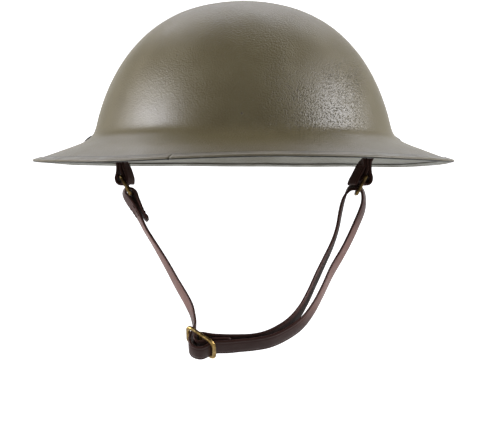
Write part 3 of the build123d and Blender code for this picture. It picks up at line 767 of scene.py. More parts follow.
s = Soup()
s.lathe([(0.0, -5.6), (2.02, -5.6), (2.02, 0.0)] + head_profile(5.1, 0.95), (0, 0, 110.02), (0, 0, 1), 48)
for d in (-1, 1):
    rows = []
    for i in range(14):
        f = i / 13
        x = d * (0.8 + 6.9 * f)
        z = 105.15 - 0.10 * math.sin(f * math.pi) - 0.25 * f * f
        w = 1.7 - 0.8 * f**3
        rows.append([(x, w * math.cos(a), z + 0.4 * math.sin(a)) for a in np.linspace(0, 2 * math.pi, 12, endpoint=False)])
    if d < 0:
        rows = [r[::-1] for r in rows]
    s.grid(rows, closed_v=True, caps=True)
ob = s.obj("split_rivet_crown", PAINT)
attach(ob, "helmet")
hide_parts("crown_rivet")

for node, mat in {"bail_clip_left": STEEL, "bail_clip_right": STEEL, "bail_left": STEEL, "bail_right": STEEL,
                  "crown_washer": STEEL, "ring_left": BRASS_DULL_SHADED, "ring_right": BRASS_DULL_SHADED}.items():
    o = NODES[node]
    o.data.materials.clear()
    o.data.materials.append(mat)

# the cast slide: a rounded frame with a straight middle bar
s = Soup()
C_MID = np.array([-28.54, -49.77763, -124.27])
RUN = np.array([8.83703, -4.43392, -5.67515])
RUN = RUN / np.linalg.norm(RUN)
WIDE = np.array([0.0, -0.78801, 0.61566])
hl, hw_, cr = 11.4, 8.9, 4.2
path = []
for cx, cy, a0 in ((hl - cr, hw_ - cr, 0), (-(hl - cr), hw_ - cr, 90), (-(hl - cr), -(hw_ - cr), 180), (hl - cr, -(hw_ - cr), 270)):
    for a in np.linspace(0, 90, 11):
        t = math.radians(a0 + a)
        path.append((cx + cr * math.cos(t), cy + cr * math.sin(t)))
out = []
for i in range(len(path)):
    p0, p1 = np.array(path[i]), np.array(path[(i + 1) % len(path)])
    n = max(1, int(np.linalg.norm(p1 - p0) / 0.6))
    for q in range(n):
        out.append(p0 + (p1 - p0) * q / n)
bar = 1.3
rad = [bar * (1.0 + 0.16 * min(1.0, max(0.0, (abs(u) - 7.5) / 3.0)) + 0.03 * math.sin(i * 0.9)) for i, (u, v) in enumerate(out)]
rad = [min(r, 1.5) for r in rad]
s.tube([C_MID + RUN * u * (1 - 0.012) + WIDE * v for u, v in out], rad, 16, closed=True)
s.tube([C_MID + WIDE * v for v in np.linspace(-hw_ + 0.4, hw_ - 0.4, 18)], 1.25, 14, round_ends=False)
slide = s.obj("slide_buckle_cast", BRASS)
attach(slide, "slide_b")
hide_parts("slide_buckle")

# =====================================================================  leather
LEAN = 38.0


def lean(z):
    t = max(0.0, min(1.0, (-34.0 - z) / 50.0))
    return math.radians(LEAN * t * t * (3 - 2 * t))


_sheet = []
yy, zz = 0.0, 20.0
while zz > -175:
    _sheet.append(yy)
    yy -= math.tan(lean(zz - 0.05)) * 0.1
    zz -= 0.1


def forward(z):
    f = max(0.0, min(len(_sheet) - 2.001, (20.0 - z) / 0.1))
    k = int(f)
    return _sheet[k] * (1 - f + k) + _sheet[k + 1] * (f - k)


ROUTE = [
    (-66.6, -42.5, 8), (-69.0, -38.7, 10), (-71.9, -34.8, 17), (-74.3, -30.5, 24), (-75.9, -27.1, 25),
    (-76.3, -23.0, 19), (-77.6, -20.3, 6), (-80.1, -19.2, -3), (-82.4, -20.3, -7), (-83.0, -23.1, -11),
    (-81.1, -26.3, -17), (-78.7, -30.0, -19), (-75.3, -35.0, -17), (-72.2, -40.4, -12), (-68.2, -48.4, -7),
    (-63.4, -56.1, -3), (-58.5, -64.0, -1), (-52.4, -74.0, 0), (-45.9, -85.2, -1), (-39.3, -95.9, -3),
    (-35.3, -103.5, -4), (-33.6, -109.8, -3), (-32.7, -115.0, -2), (-33.4, -118.7, 0), (-35.6, -122.3, 0),
    (-36.3, -125.9, 0), (-34.9, -129.4, 0), (-30.8, -131.1, 0), (-27.2, -131.1, 0), (-23.9, -129.4, 0),
    (-20.5, -127.7, 0), (-16.8, -127.2, 0), (-11.8, -127.2, 0), (-2.4, -126.4, 0), (7.1, -125.5, 0),
    (18.5, -123.4, 0), (29.7, -118.5, 0), (39.7, -111.6, 0), (47.4, -102.1, 0), (54.1, -90.5, 0),
    (60.6, -77.6, -2), (68.1, -65.4, -6), (74.3, -53.9, -13), (79.5, -42.5, -17), (82.2, -35.9, -17),
    (83.5, -30.7, -13), (83.7, -25.8, -10), (83.0, -21.6, -9), (80.8, -19.3, -11), (77.4, -18.7, -15),
    (74.2, -19.8, -9), (71.9, -22.8, 0), (69.9, -26.8, 6), (68.4, -32.0, 8), (67.3, -37.3, 8),
    (65.4, -47.4, 6), (61.8, -58.2, 3), (55.8, -70.7, 0), (49.7, -82.8, 0), (44.0, -94.5, 0),
    (37.9, -104.5, 0), (29.3, -113.4, 0), (16.5, -120.4, 0), (7.1, -122.7, 0), (-2.4, -123.2, 0),
    (-11.8, -123.2, 0), (-21.2, -122.7, 0), (-26.3, -121.9, 0), (-29.2, -121.5, 0), (-32.4, -122.6, 0),
    (-33.3, -124.9, 0), (-31.2, -127.1, 0), (-27.3, -127.0, 0), (-24.2, -125.9, 0), (-19.9, -125.4, 0),
    (-14.5, -125.2, 0), (-8.4, -125.2, 0),
]


def smooth_line(points, step):
    pts = [tuple(2 * a - b for a, b in zip(points[0], points[1]))] + list(points)
    pts.append(tuple(2 * a - b for a, b in zip(points[-1], points[-2])))
    out = []
    for i in range(1, len(pts) - 2):
        q0, q1, q2, q3 = pts[i - 1:i + 3]
        t0 = 0.0
        t1 = t0 + math.dist(q0, q1) ** 0.5
        t2 = t1 + math.dist(q1, q2) ** 0.5
        t3 = t2 + math.dist(q2, q3) ** 0.5
        n = max(1, round(math.dist(q1[:2], q2[:2]) / step))
        for k in range(n):
            t = t1 + (t2 - t1) * k / n

            def mix(u, v, ta, tb):
                return tuple((tb - t) / (tb - ta) * a + (t - ta) / (tb - ta) * b for a, b in zip(u, v))

            a1, a2, a3 = mix(q0, q1, t0, t1), mix(q1, q2, t1, t2), mix(q2, q3, t2, t3)
            b1, b2 = mix(a1, a2, t0, t2), mix(a2, a3, t1, t3)
            out.append(mix(b1, b2, t1, t2))
    out.append(points[-1])
    return out


def strap_section(hw, ht, er):
    """Closed section: (across, thick, face) from the outer face round to the inner."""
    top = []
    for a in (-1.0, -0.93, -0.86, -0.80, -0.74, -0.5, -0.25, 0.0, 0.25, 0.5, 0.74, 0.80, 0.86, 0.93, 1.0):
        crown = 0.10 * (1 - a * a)
        groove = 0.14 * math.exp(-((abs(a) - 0.80) / 0.045) ** 2)
        top.append((a * (hw - er), ht - 0.10 + crown - groove))
    sec = [(a, t, 1.0) for a, t in top]
    for i in range(1, 6):
        g = math.pi * i / 6
        sec.append((hw - er + er * math.sin(g), (ht - 0.10) * math.cos(g), 0.0))
    sec += [(a, -t, -1.0) for a, t in [(p[0], ht - 0.10) for p in top[::-1]]]
    for i in range(1, 6):
        g = math.pi * i / 6
        sec.append((-(hw - er) - er * math.sin(g), -(ht - 0.10) * math.cos(g), 0.0))
    return sec


def strap_mesh(name, mid, wide, thick, hw, ht, mat, end_round=(1.6, 1.6), along0=0.0):
    """Lofts the rounded section; wide and thick are unit vectors at each station."""
    sec = strap_section(hw, ht, 0.75)
    n = len(mid)
    L = np.concatenate([[0], np.cumsum(np.linalg.norm(np.diff(mid, axis=0), axis=1))])
    verts, at = [], []
    for i in range(n):
        d0, d1 = L[i], L[-1] - L[i]
        wsc, tsc = 1.0, 1.0
        for d, er in ((d0, end_round[0]), (d1, end_round[1])):
            if er and d < er:
                q = 1 - d / er
                wsc *= 1 - 0.13 * (1 - math.sqrt(max(0.0, 1 - q * q)))
                if d < 0.6:
                    tsc *= 0.55 + 0.45 * math.sqrt(max(0.0, 1 - (1 - d / 0.6) ** 2))
        for a, t, f in sec:
            e = 1.0
            if abs(a) > hw - 1.0:
                e = 1 + 0.010 * mn.noise(Vector((L[i] * 0.16, 3.0 if a > 0 else -3.0, 0.4)))
            th = t * tsc * (1 + 0.035 * mn.noise(Vector((L[i] * 0.07, a * 0.2, 7.7))))
            p = mid[i] + wide[i] * a * wsc * e + thick[i] * th
            verts.append(tuple(p))
            at.append((L[i] + along0, a / hw, f))
    m = len(sec)
    faces = []
    for i in range(n - 1):
        for j in range(m):
            a, b = i * m + j, i * m + (j + 1) % m
            faces.append((a, b, b + m, a + m))
    faces.append(tuple(range(m))[::-1])
    faces.append(tuple((n - 1) * m + j for j in range(m)))
    ob = make_obj(name, verts, outward(verts, faces), mat)
    layer = ob.data.attributes.new("strap", "FLOAT_VECTOR", "POINT")
    layer.data.foreach_set("vector", [c for v in at for c in v])
    return ob, L


line = smooth_line(ROUTE, 1.3)
mid = np.array([(x, forward(z), z) for x, z, _ in line])
# ease the joins between spans
for _ in range(2):
    mid[1:-1] = mid[1:-1] * 0.5 + (mid[:-2] + mid[2:]) * 0.25
wide, thick = [], []
for k, (x, z, turn) in enumerate(line):
    al = mid[min(k + 1, len(mid) - 1)] - mid[max(k - 1, 0)]
    al /= np.linalg.norm(al)
    a = lean(z)
    w = np.array([0, -math.cos(a), math.sin(a)])
    w -= al * np.dot(w, al)
    w /= np.linalg.norm(w)
    t = np.cross(al, w)
    r = math.radians(turn)
    wide.append(w * math.cos(r) + t * math.sin(r))
    thick.append(np.cross(al, wide[-1]))
wide, thick = np.array(wide), np.array(thick)
strap, L_STRAP = strap_mesh("chin_strap_leather", mid, wide, thick, 7.1, 1.0, LEATHER)
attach(strap, "strap_b")
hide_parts("chin_strap")


def stitch(soup, a, b, out, r=0.3, sink=0.12):
    """One raised stitch from a to b, bowed outwards."""
    a, b, out = np.array(a), np.array(b), np.array(out)
    path = []
    for i in range(7):
        f = i / 6
        path.append(a * (1 - f) + b * f + out * (math.sin(f * math.pi) * 0.32 - sink))
    soup.tube(path, r, 7)


def station(s0):
    k = int(np.searchsorted(L_STRAP, s0))
    return max(1, min(len(L_STRAP) - 2, k))


# the tail sewn to the left leg: two short rows through both plies, outer face and tail face
s = Soup()
leg = [k for k in range(len(line)) if 27.0 < L_STRAP[k] < 60.0]


def rows_of_stitches(soup, k0, k1, sign, across, pitch=3.0, length=2.1, h=0.96):
    s0, s1 = L_STRAP[k0], L_STRAP[k1]
    q = s0
    while q + length < s1:
        i, j = station(q), station(q + length)
        for a in across:
            A = mid[i] + wide[i] * a + thick[i] * sign * h
            B = mid[j] + wide[j] * a + thick[j] * sign * h
            stitch(soup, A, B, (thick[i] + thick[j]) / 2 * sign)
        q += pitch


# outer ply stations whose height is beside the tail (z -31 .. -41)
lead = [k for k in range(len(line)) if 22 < L_STRAP[k] < 60 and -41.5 < mid[k][2] < -31.0]
tail = [k for k in range(len(line)) if L_STRAP[k] < 22 and -41.5 < mid[k][2] < -31.5]
if lead and tail:
    # which face looks outwards: away from the other ply
    side_sign = 1.0 if np.dot(thick[lead[0]], mid[lead[0]] - mid[tail[0]]) > 0 else -1.0
    rows_of_stitches(s, lead[0], lead[-1], side_sign, (-4.9, 4.9))
    tail_sign = 1.0 if np.dot(thick[tail[0]], mid[tail[0]] - mid[lead[-1]]) > 0 else -1.0
    rows_of_stitches(s, tail[0], tail[-1], tail_sign, (-4.9, 4.9))
# the short end that wraps the slide's middle bar, sewn back on the chin run
end = [k for k in range(len(line)) if L_STRAP[-1] - L_STRAP[k] < 11.5 and L_STRAP[-1] - L_STRAP[k] > 1.6]
rows_of_stitches(s, end[0], end[-1], 1.0, (-4.9, 4.9))
rows_of_stitches(s, end[0], end[-1], -1.0, (-4.9, 4.9))
ob = s.obj("chin_strap_stitches", THREAD)
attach(ob, "strap_b")

# tabs: one strip round the bail's lower bar and the ring's upper bar, its end sewn over
TAB_ROUTE = [
    (86.4, 1.2), (85.7, 0.1), (84.8, -1.2), (83.9, -4.0), (83.1, -7.5), (81.6, -10.6), (80.3, -13.4), (80.9, -16.0), (83.3, -17.1),
    (85.8, -15.9), (86.9, -12.8), (86.0, -9.0), (85.8, -5.0), (86.8, -1.8), (89.0, 0.8), (91.2, 3.2), (90.8, 5.0),
    (89.1, 5.9), (87.2, 5.2), (85.8, 3.4), (84.3, 1.4), (82.8, -0.8), (81.6, -4.0),
]
TAB_END = {
    "left": [(80.2, -7.5), (79.1, -10.6), (78.4, -13.4), (78.6, -17.2)],
    "right": [(79.8, -7.5), (78.0, -10.6), (76.2, -13.6), (75.0, -16.4), (74.6, -17.6)],
}


def yaw_mesh(ob, cx, deg):
    """Twists a piece about the upright line at x = cx, from nothing at the bail to deg at the ring."""
    for v in ob.data.vertices:
        x, y, z = v.co.x / MM - cx, v.co.y / MM, v.co.z / MM
        t = max(0.0, min(1.0, (3.0 - z) / 9.0))
        a = math.radians(deg) * t * t * (3 - 2 * t) * (1 if cx > 0 else -1)
        v.co.x = (cx + x * math.cos(a) - y * math.sin(a)) * MM
        v.co.y = (x * math.sin(a) + y * math.cos(a)) * MM


for sx, side, yaw_deg in ((-1, "left", 18.0), (1, "right", 24.0)):
    P2 = np.array(smooth_line([(x, z, 0) for x, z in TAB_ROUTE + TAB_END[side]], 0.55))[:, :2]
    for _ in range(2):
        P2[1:-1] = P2[1:-1] * 0.5 + (P2[:-2] + P2[2:]) * 0.25
    midt = np.array([(sx * x, 0.0, z) for x, z in P2])
    Tt = np.gradient(midt, axis=0)
    Tt /= np.linalg.norm(Tt, axis=1)[:, None]
    wt = np.tile(np.array([0.0, -1.0, 0.0]), (len(midt), 1))
    th = np.cross(Tt, wt)
    ob, Lt = strap_mesh(f"strap_tab_{side}_leather", midt, wt, th, 7.1, 0.95, LEATHER, end_round=(1.2, 1.6), along0=700 * (sx + 2))
    yaw_mesh(ob, sx * 84.5, yaw_deg)
    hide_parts(f"strap_tab_{side}")
    st = Soup()
    for face in (-1.0, 1.0):
        for row_z in (-3.6, -6.6):
            # the outermost ply on each side at this height
            ks = [k for k in range(len(midt)) if abs(midt[k][2] - row_z) < 0.6]
            k = max(ks, key=lambda q: face * abs(midt[q][0]))
            n_ = th[k] * (1.0 if th[k][0] * sx * face > 0 else -1.0)
            base = midt[k] + n_ * 0.93
            y = -5.9
            while y < 5.0:
                stitch(st, base + np.array([0, y, 0]), base + np.array([0, y + 1.9, 0]), n_, r=0.27, sink=0.10)
                y += 2.45
    so = st.obj(f"strap_tab_{side}_stitches", THREAD)
    yaw_mesh(so, sx * 84.5, yaw_deg)
    for piece in (ob, so):
        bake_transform(piece)

# =====================================================================  liner
BAND_A, BAND_B, BAND_T, BAND_Z0, BAND_Z1 = 82.0, 93.0, 1.3, 8.5, 44.0


def band(name, a, b, t, z0, z1, mat, wob=0.5, lap=0.9, seed=1.0, waist=0.0):
    """Cloth band with rounded folded edges."""
    n = 300
    sec = []
    H = z1 - z0
    # folded hems make the edges a little thicker
    hem = 3.4
    zs = [0, 0.5, hem * 0.5, hem, hem + 0.6] + list(np.linspace(hem + 2, H - hem - 2, 12)) + [H - hem - 0.6, H - hem, H - hem * 0.5, H - 0.5, H]

    def th(z):
        e = min(z, H - z)
        base = t * 0.42
        if e < hem:
            base = t * 0.5
        if e < 0.5:
            base *= 0.55
        return base

    outer_side = [(th(z), z) for z in zs]
    inner_side = [(-th(z), z) for z in zs[::-1]]
    sec = outer_side + inner_side
    rows = []
    for k in range(n):
        ph = 2 * math.pi * k / n
        c, s_ = math.cos(ph), math.sin(ph)
        am, bm = a + t / 2, b + t / 2
        nx, ny = c / am, s_ / bm
        q = math.hypot(nx, ny)
        nx, ny = nx / q, ny / q
        row = []
        for o, z in sec:
            w = wob * mn.noise(Vector((c * 3.1 + seed, s_ * 3.1, z * 0.03))) + 0.35 * wob * mn.noise(Vector((c * 11 + seed, s_ * 11, z * 0.09)))
            w -= waist * math.sin(math.pi * z / H)
            row.append((am * c + nx * (o + w), bm * s_ + ny * (o + w), z0 + z))
        rows.append(row)
    sp = Soup()
    sp.grid(rows, closed_u=True, closed_v=True)
    ob = sp.obj(name, mat)
    return ob


def ring_of_stitches(soup, a, b, z, pitch, length, out, r=0.3, skip=()):
    """Running stitches round an oval, on the outer (+1) or inner (-1) face."""
    per = math.pi * (3 * (a + b) - math.sqrt((3 * a + b) * (a + 3 * b)))
    n = int(per / pitch)
    for k in range(n):
        ph = 2 * math.pi * k / n
        dp = 2 * math.pi * length / per / 2
        pa, pb = [], []
        p0 = np.array([a * math.cos(ph - dp), b * math.sin(ph - dp), z])
        p1 = np.array([a * math.cos(ph + dp), b * math.sin(ph + dp), z])
        nn = np.array([math.cos(ph) / a, math.sin(ph) / b, 0])
        nn /= np.linalg.norm(nn)
        stitch(soup, p0, p1, nn * out, r=r, sink=0.05)


hb = band("headband_oilcloth", BAND_A, BAND_B, BAND_T, BAND_Z0, BAND_Z1, OILCLOTH, wob=0.45, seed=1.0)
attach(hb, "helmet")
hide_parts("headband")
bb = band("buffer_band_oilcloth", 92.8, 103.8, 1.2, 16.0, 36.0, OILCLOTH, wob=0.22, seed=8.0)
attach(bb, "helmet")
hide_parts("buffer_band")
s = Soup()
ring_of_stitches(s, BAND_A - 0.05, BAND_B - 0.05, BAND_Z0 + 3.0, 4.2, 2.8, -1)
ring_of_stitches(s, BAND_A - 0.05, BAND_B - 0.05, BAND_Z1 - 3.0, 4.2, 2.8, -1)
ring_of_stitches(s, BAND_A + BAND_T + 0.05, BAND_B + BAND_T + 0.05, BAND_Z0 + 3.0, 4.2, 2.8, 1)
ring_of_stitches(s, 92.75, 103.75, 18.6, 4.2, 2.8, -1)
ring_of_stitches(s, 92.75, 103.75, 33.4, 4.2, 2.8, -1)
ob = s.obj("band_stitches", THREAD_PALE)
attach(ob, "helmet")

# rubber tubes, squeezed a little between the bands, each with a thread round its waist
MID_A, MID_B = (BAND_A + BAND_T + 92.8) / 2, (BAND_B + BAND_T + 103.8) / 2
s, st = Soup(), Soup()
for k in range(12):
    a = math.radians(15 + 30 * k)
    cx, cy = MID_A * math.cos(a), MID_B * math.sin(a)
    nx, ny = math.cos(a) / MID_A, math.sin(a) / MID_B
    q = math.hypot(nx, ny)
    nx, ny = nx / q, ny / q
    tx, ty = -ny, nx
    prof = []
    for z, r in ((0, 2.0), (0, 3.9), (0.35, 4.25), (1.0, 4.45), (6, 4.5), (11.6, 4.36), (12.5, 4.26), (13.4, 4.36), (19, 4.5), (24, 4.45), (24.65, 4.25), (25, 3.9), (25, 2.0), (24, 1.9), (12.5, 1.8), (1, 1.9)):
        prof.append((r, z + 11.0))
    rows = []
    for j in range(32):
        g = 2 * math.pi * j / 32
        row = []
        for r, z in prof:
            u, v = r * math.cos(g) * 0.985, r * math.sin(g) * 1.03
            row.append((cx + nx * u + tx * v, cy + ny * u + ty * v, z))
        rows.append(row)
    s.grid(rows, closed_u=True, closed_v=True)
    loop_pts = []
    for j in range(20):
        g = 2 * math.pi * j / 20
        u, v = 4.42 * math.cos(g) * 0.985, 4.42 * math.sin(g) * 1.03
        loop_pts.append((cx + nx * u + tx * v, cy + ny * u + ty * v, 23.5))
    st.tube(loop_pts, 0.33, 6, closed=True)
ob = s.obj("rubber_tubes", RUBBER)
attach(ob, "helmet")
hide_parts("rubber_buffers")
ob = st.obj("rubber_tube_threads", THREAD_PALE)
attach(ob, "helmet")

# six oilcloth arms under the shell
s, st = Soup(), Soup()
GAP_OUT, GAP_IN = 2.45, 3.45


def under_shell(px, py, gap):
    rp = math.hypot(px, py / LONG)
    return dome(gap, rp)


def arm_end():
    # plan radius where the inner surface comes down to the arm's lower end
    q = PROF - PNRM * 2.95
    k = max(i for i in range(118) if q[i][1] > 36.8)
    return q[k][0]


R_END = arm_end()
for k in range(6):
    f0 = math.radians(60 * k)
    dx, dy = math.cos(f0), math.sin(f0)
    stretch = 1.0 / math.hypot(dx, dy / LONG)
    # stations along the arm, closer together where the wall is steep
    rs = list(np.linspace(2.6, 60, 26)) + list(60 + (R_END - 60) * np.sin(np.linspace(0, math.pi / 2, 36))[1:])
    rows_o, rows_i = [], []
    cols = np.linspace(-1, 1, 15)
    for r in rs:
        al = r * stretch
        hw = min(16.8, al * math.tan(math.radians(29.2)))
        ro_row, ri_row = [], []
        for c in cols:
            px, py = dx * al - dy * hw * c, dy * al + dx * hw * c
            # keep inside the dome's end
            rp = math.hypot(px, py / LONG)
            if rp > R_END:
                px, py = px * R_END / rp, py * R_END / rp
                rp = R_END
            hemz = 0.12 if abs(c) > 0.80 and hw > 16 else 0.0
            wv = 0.12 * fbm((px, py, 0), 18.0, 2, 5.0 + k)
            zo = dome(GAP_OUT - hemz * 0.3 + wv * 0.5, rp)
            zi = dome(GAP_IN + hemz + wv, rp)
            ro_row.append((px, py, zo))
            ri_row.append((px, py, zi))
        rows_o.append(ro_row)
        rows_i.append(ri_row)
    # closed section: outer face then inner face back
    rows = [o + i[::-1] for o, i in zip(rows_o, rows_i)]
    s.grid([r[::-1] for r in rows], closed_v=True, caps=True)
    # hem stitches on the face towards the head
    for c_ in (-0.80, 0.80):
        j = 0
        al = 34.0
        pts = []
        for r in rs:
            a_ = r * stretch
            if a_ * math.tan(math.radians(29.2)) > 17.2:
                px, py = dx * a_ - dy * 16.8 * c_, dy * a_ + dx * 16.8 * c_
                rp = math.hypot(px, py / LONG)
                if rp < R_END - 0.2:
                    pts.append(np.array((px, py, dome(GAP_IN + 0.30, rp))))
        pts = np.array(pts)
        Lq = np.concatenate([[0], np.cumsum(np.linalg.norm(np.diff(pts, axis=0), axis=1))])
        q = 1.0
        while q + 3.0 < Lq[-1]:
            A = np.array([np.interp(q, Lq, pts[:, i]) for i in range(3)])
            B = np.array([np.interp(q + 2.8, Lq, pts[:, i]) for i in range(3)])
            nn = -A / np.linalg.norm(A)
            stitch(st, A, B, nn, r=0.3, sink=0.0)
            q += 4.3
ob = s.obj("crown_straps_oilcloth", OILCLOTH)
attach(ob, "helmet")
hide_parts("crown_straps")
ob = st.obj("crown_strap_stitches", THREAD_PALE)
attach(ob, "helmet")

# felt pad under the crown
s = Soup()
top_p = cubic([(0, 102.5), (20, 101.1), (38, 96.6), (44.3, 93.6)], (1, -0.02), (0.85, -0.53), 26)
low_p = cubic([(0, 96.1), (20, 94.7), (38, 90.7), (44.0, 88.6)], (1, -0.02), (0.85, -0.53), 26)
prof = [tuple(p) for p in top_p] + [(45.0, 92.6), (45.3, 91.2), (45.0, 89.6)] + [tuple(p) for p in low_p[::-1]]
rows = []
for k in range(120):
    t = 2 * math.pi * k / 120
    row = []
    for r, z in prof:
        x, y = r * math.cos(t), r * math.sin(t) * LONG
        w = 0.45 * fbm((x, y, z), 14.0, 3, 2.2) * min(1.0, r / 6)
        # quilting: two sewn rings pull the faces in
        quilt = 0.7 * math.exp(-((r - 18) / 1.1) ** 2) + 0.7 * math.exp(-((r - 33) / 1.1) ** 2)
        sgn = 1 if z > 0.5 * (np.interp(r, top_p[:, 0], top_p[:, 1]) + np.interp(r, low_p[:, 0], low_p[:, 1])) else -1
        row.append((x * (1 + w * 0.004), y * (1 + w * 0.004), z + w * 0.5 - sgn * quilt))
    rows.append(row)
s.grid(rows, closed_u=True, closed_v=True)
pad = s.obj("crown_pad_felt", FELT)
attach(pad, "helmet")
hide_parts("crown_pad")


# ---------------------------------------------------------------- cords with their own coordinates
class Cords(Soup):
    def __init__(self):
        super().__init__()
        self.at = []

    def cord(self, path, r, sides=8, closed=False, up=(0.0, 0.0, 1.0)):
        k = len(self.v)
        self.tube(path, r, sides, closed=closed, round_ends=not closed, up=up)
        P = np.asarray(path, float)
        L = np.concatenate([[0], np.cumsum(np.linalg.norm(np.diff(P, axis=0), axis=1))])
        n = (len(self.v) - k) // sides
        if n != len(P):
            L = np.concatenate([[L[0] - 1, L[0] - 0.5], L, [L[-1] + 0.5, L[-1] + 1]])
        base = random.random() * 40
        for i in range(n):
            for j in range(sides):
                self.at.append((float(L[i]) + base, j / sides, 0.0))

    def ball(self, c, r, sides=10, squash=(1, 1, 1)):
        rows = []
        for i in range(1, 8):
            a = math.pi * i / 8
            rows.append([(c[0] + r * squash[0] * math.sin(a) * math.cos(2 * math.pi * j / sides),
                          c[1] + r * squash[1] * math.sin(a) * math.sin(2 * math.pi * j / sides),
                          c[2] + r * squash[2] * math.cos(a)) for j in range(sides)])
        k = len(self.v)
        self.grid(rows[::-1], closed_v=True, caps=True)
        self.at.extend([(i * 0.7, (i % sides) / sides, 0.0) for i in range(len(self.v) - k)])

    def finish(self, name, mat):
        ob = self.obj(name, mat)
        layer = ob.data.attributes.new("cord", "FLOAT_VECTOR", "POINT")
        layer.data.foreach_set("vector", [float(c) for v in self.at for c in v])
        return ob


NET_Z, NET_H = BAND_Z1 + 2.9, 36.0
NET_OUT = [(11.0, NET_Z + NET_H - 0.3), (24, NET_Z + 34.2), (42, NET_Z + 29.2), (60, NET_Z + 20.5), (73, NET_Z + 10.5), (80.5, NET_Z)]
NP_ = cubic(NET_OUT, (1, -0.05), (0.55, -0.83), 120) - np.array([0.3, 0.8])
NY = (BAND_B - 1.0) / (BAND_A - 1.0)
NL = np.concatenate([[0], np.cumsum(np.linalg.norm(np.diff(NP_, axis=0), axis=1))])


def net_point(s_, t, drop=0.0):
    r = float(np.interp(s_, NL, NP_[:, 0]))
    z = float(np.interp(s_, NL, NP_[:, 1])) - drop
    return np.array([r * math.cos(t), r * math.sin(t) * NY, z])


c = Cords()
NN, NR = 24, 9
ss = [NL[-1] * (1 - (1 - i / (NR - 1)) ** 0.92) for i in range(NR)]
knots = {}
for i in range(NR):
    for j in range(NN):
        t = 2 * math.pi * (j + 0.5 * (i % 2)) / NN + 0.018 * RNG.normal()
        knots[i, j] = (ss[i] + (0.7 * RNG.normal() if 0 < i < NR - 1 else 0.0), t)
for i in range(NR - 1):
    for j in range(NN):
        s0, t0 = knots[i, j]
        for dj in ((0, -1) if i % 2 == 0 else (0, 1)):
            jj = (j + dj) % NN
            s1, t1 = knots[i + 1, jj]
            while t1 - t0 > math.pi:
                t1 -= 2 * math.pi
            while t1 - t0 < -math.pi:
                t1 += 2 * math.pi
            pts = []
            sag = 0.25 + 0.5 * RNG.random()
            for q in range(7):
                f = q / 6
                pts.append(net_point(s0 + (s1 - s0) * f, t0 + (t1 - t0) * f, sag * math.sin(math.pi * f)))
            c.cord(pts, 0.62, 7)
for i in range(1, NR - 1):
    for j in range(NN):
        s0, t0 = knots[i, j]
        p = net_point(s0, t0)
        c.ball(p, 1.15, 9, (1.1, 1.1, 0.85))
# gathered loops at the top, round the drawn cord
DS = np.array([8.6, NET_Z + NET_H - 1.2])
for j in range(NN):
    s0, t0 = knots[0, j]
    p = net_point(s0, t0)
    out = np.array([math.cos(t0), math.sin(t0) * NY, 0])
    q0 = np.array([DS[0] * math.cos(t0), DS[0] * math.sin(t0), DS[1]])
    side = np.array([-math.sin(t0), math.cos(t0), 0])
    pts = [p + side * 0.5]
    for g in np.linspace(-0.5 * math.pi, 1.0 * math.pi, 9):
        e = np.array([math.cos(t0), math.sin(t0), 0])
        pts.append(q0 - e * 1.75 * math.sin(g + math.pi / 2) + np.array([0, 0, 1.75 * math.cos(g + math.pi / 2)]) + side * (0.4 * math.cos(g * 0.66)))
    pts.append(p - side * 0.5)
    c.cord(pts, 0.52, 6)
net = c.finish("head_net_twine", TWINE)
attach(net, "helmet")
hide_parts("head_net")

# lacing: a cord that whips round the headband's top edge and catches the net's last meshes
c = Cords()
pts = []
TURNS, PER = 48, 16
for q in range(TURNS * PER):
    ph = 2 * math.pi * q / (TURNS * PER)
    g = 2 * math.pi * q / PER
    a_, b_ = BAND_A + BAND_T / 2, BAND_B + BAND_T / 2
    nx, ny = math.cos(ph) / a_, math.sin(ph) / b_
    n_ = math.hypot(nx, ny)
    nx, ny = nx / n_, ny / n_
    o = 1.55 * math.cos(g)
    z = BAND_Z1 + 0.6 + 2.0 * math.sin(g)
    pts.append((a_ * math.cos(ph) + nx * o, b_ * math.sin(ph) + ny * o, z))
c.cord(pts, 0.62, 7, closed=True)
pts = []
for q in range(260):
    ph = 2 * math.pi * q / 260
    pts.append(((BAND_A - 1.3) * math.cos(ph), (BAND_B - 1.3) * math.sin(ph), NET_Z - 0.9 + 0.25 * math.sin(ph * 24)))
c.cord(pts, 0.8, 8, closed=True)
ob = c.finish("net_lacing_cord", TWINE)
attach(ob, "helmet")
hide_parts("net_lacing")

# drawn cord with a bow knot and two short tails
c = Cords()
pts = []
for q in range(90):
    ph = -math.pi / 2 + 0.16 + (2 * math.pi - 0.32) * q / 89
    pts.append((DS[0] * math.cos(ph), DS[0] * math.sin(ph), DS[1]))
c.cord(pts, 1.05, 9)
kx = np.array([0, -DS[0], DS[1]])
c.ball(kx, 2.3, 14, (1.25, 0.9, 0.8))
knot = []
for q in range(70):
    t = 2 * math.pi * q / 70
    knot.append(kx + np.array([(math.sin(t) + 2 * math.sin(2 * t)) * 0.95, -math.sin(3 * t) * 0.9, (math.cos(t) - 2 * math.cos(2 * t)) * 0.75]))
c.cord(knot, 0.85, 8, closed=True)
for sgn in (-1, 1):
    tail_pts = []
    for q in range(16):
        f = q / 15
        tail_pts.append(kx + np.array([sgn * (1.2 + 5.0 * f - 1.5 * f * f), -1.0 - 2.5 * f * (1 - f), -1.0 - 13.0 * f ** 1.3 - (1.5 if sgn > 0 else 0) * f]))
    c.cord(tail_pts, 0.95, 8)
    c.ball(tail_pts[-2], 1.45, 10, (1, 1, 0.9))
ob = c.finish("drawstring_cord", TWINE)
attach(ob, "helmet")
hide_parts("drawstring")

# =====================================================================  stage, light, camera
floor_mat = Mat("floor_pale", Roughness=0.85, Specular_IOR_Level=0.05)
tex = floor_mat.noise(3.0, 2)
floor_mat.color(floor_mat.ramp(tex, [(0.3, (0.80, 0.80, 0.81)), (0.7, (0.83, 0.83, 0.835))]))
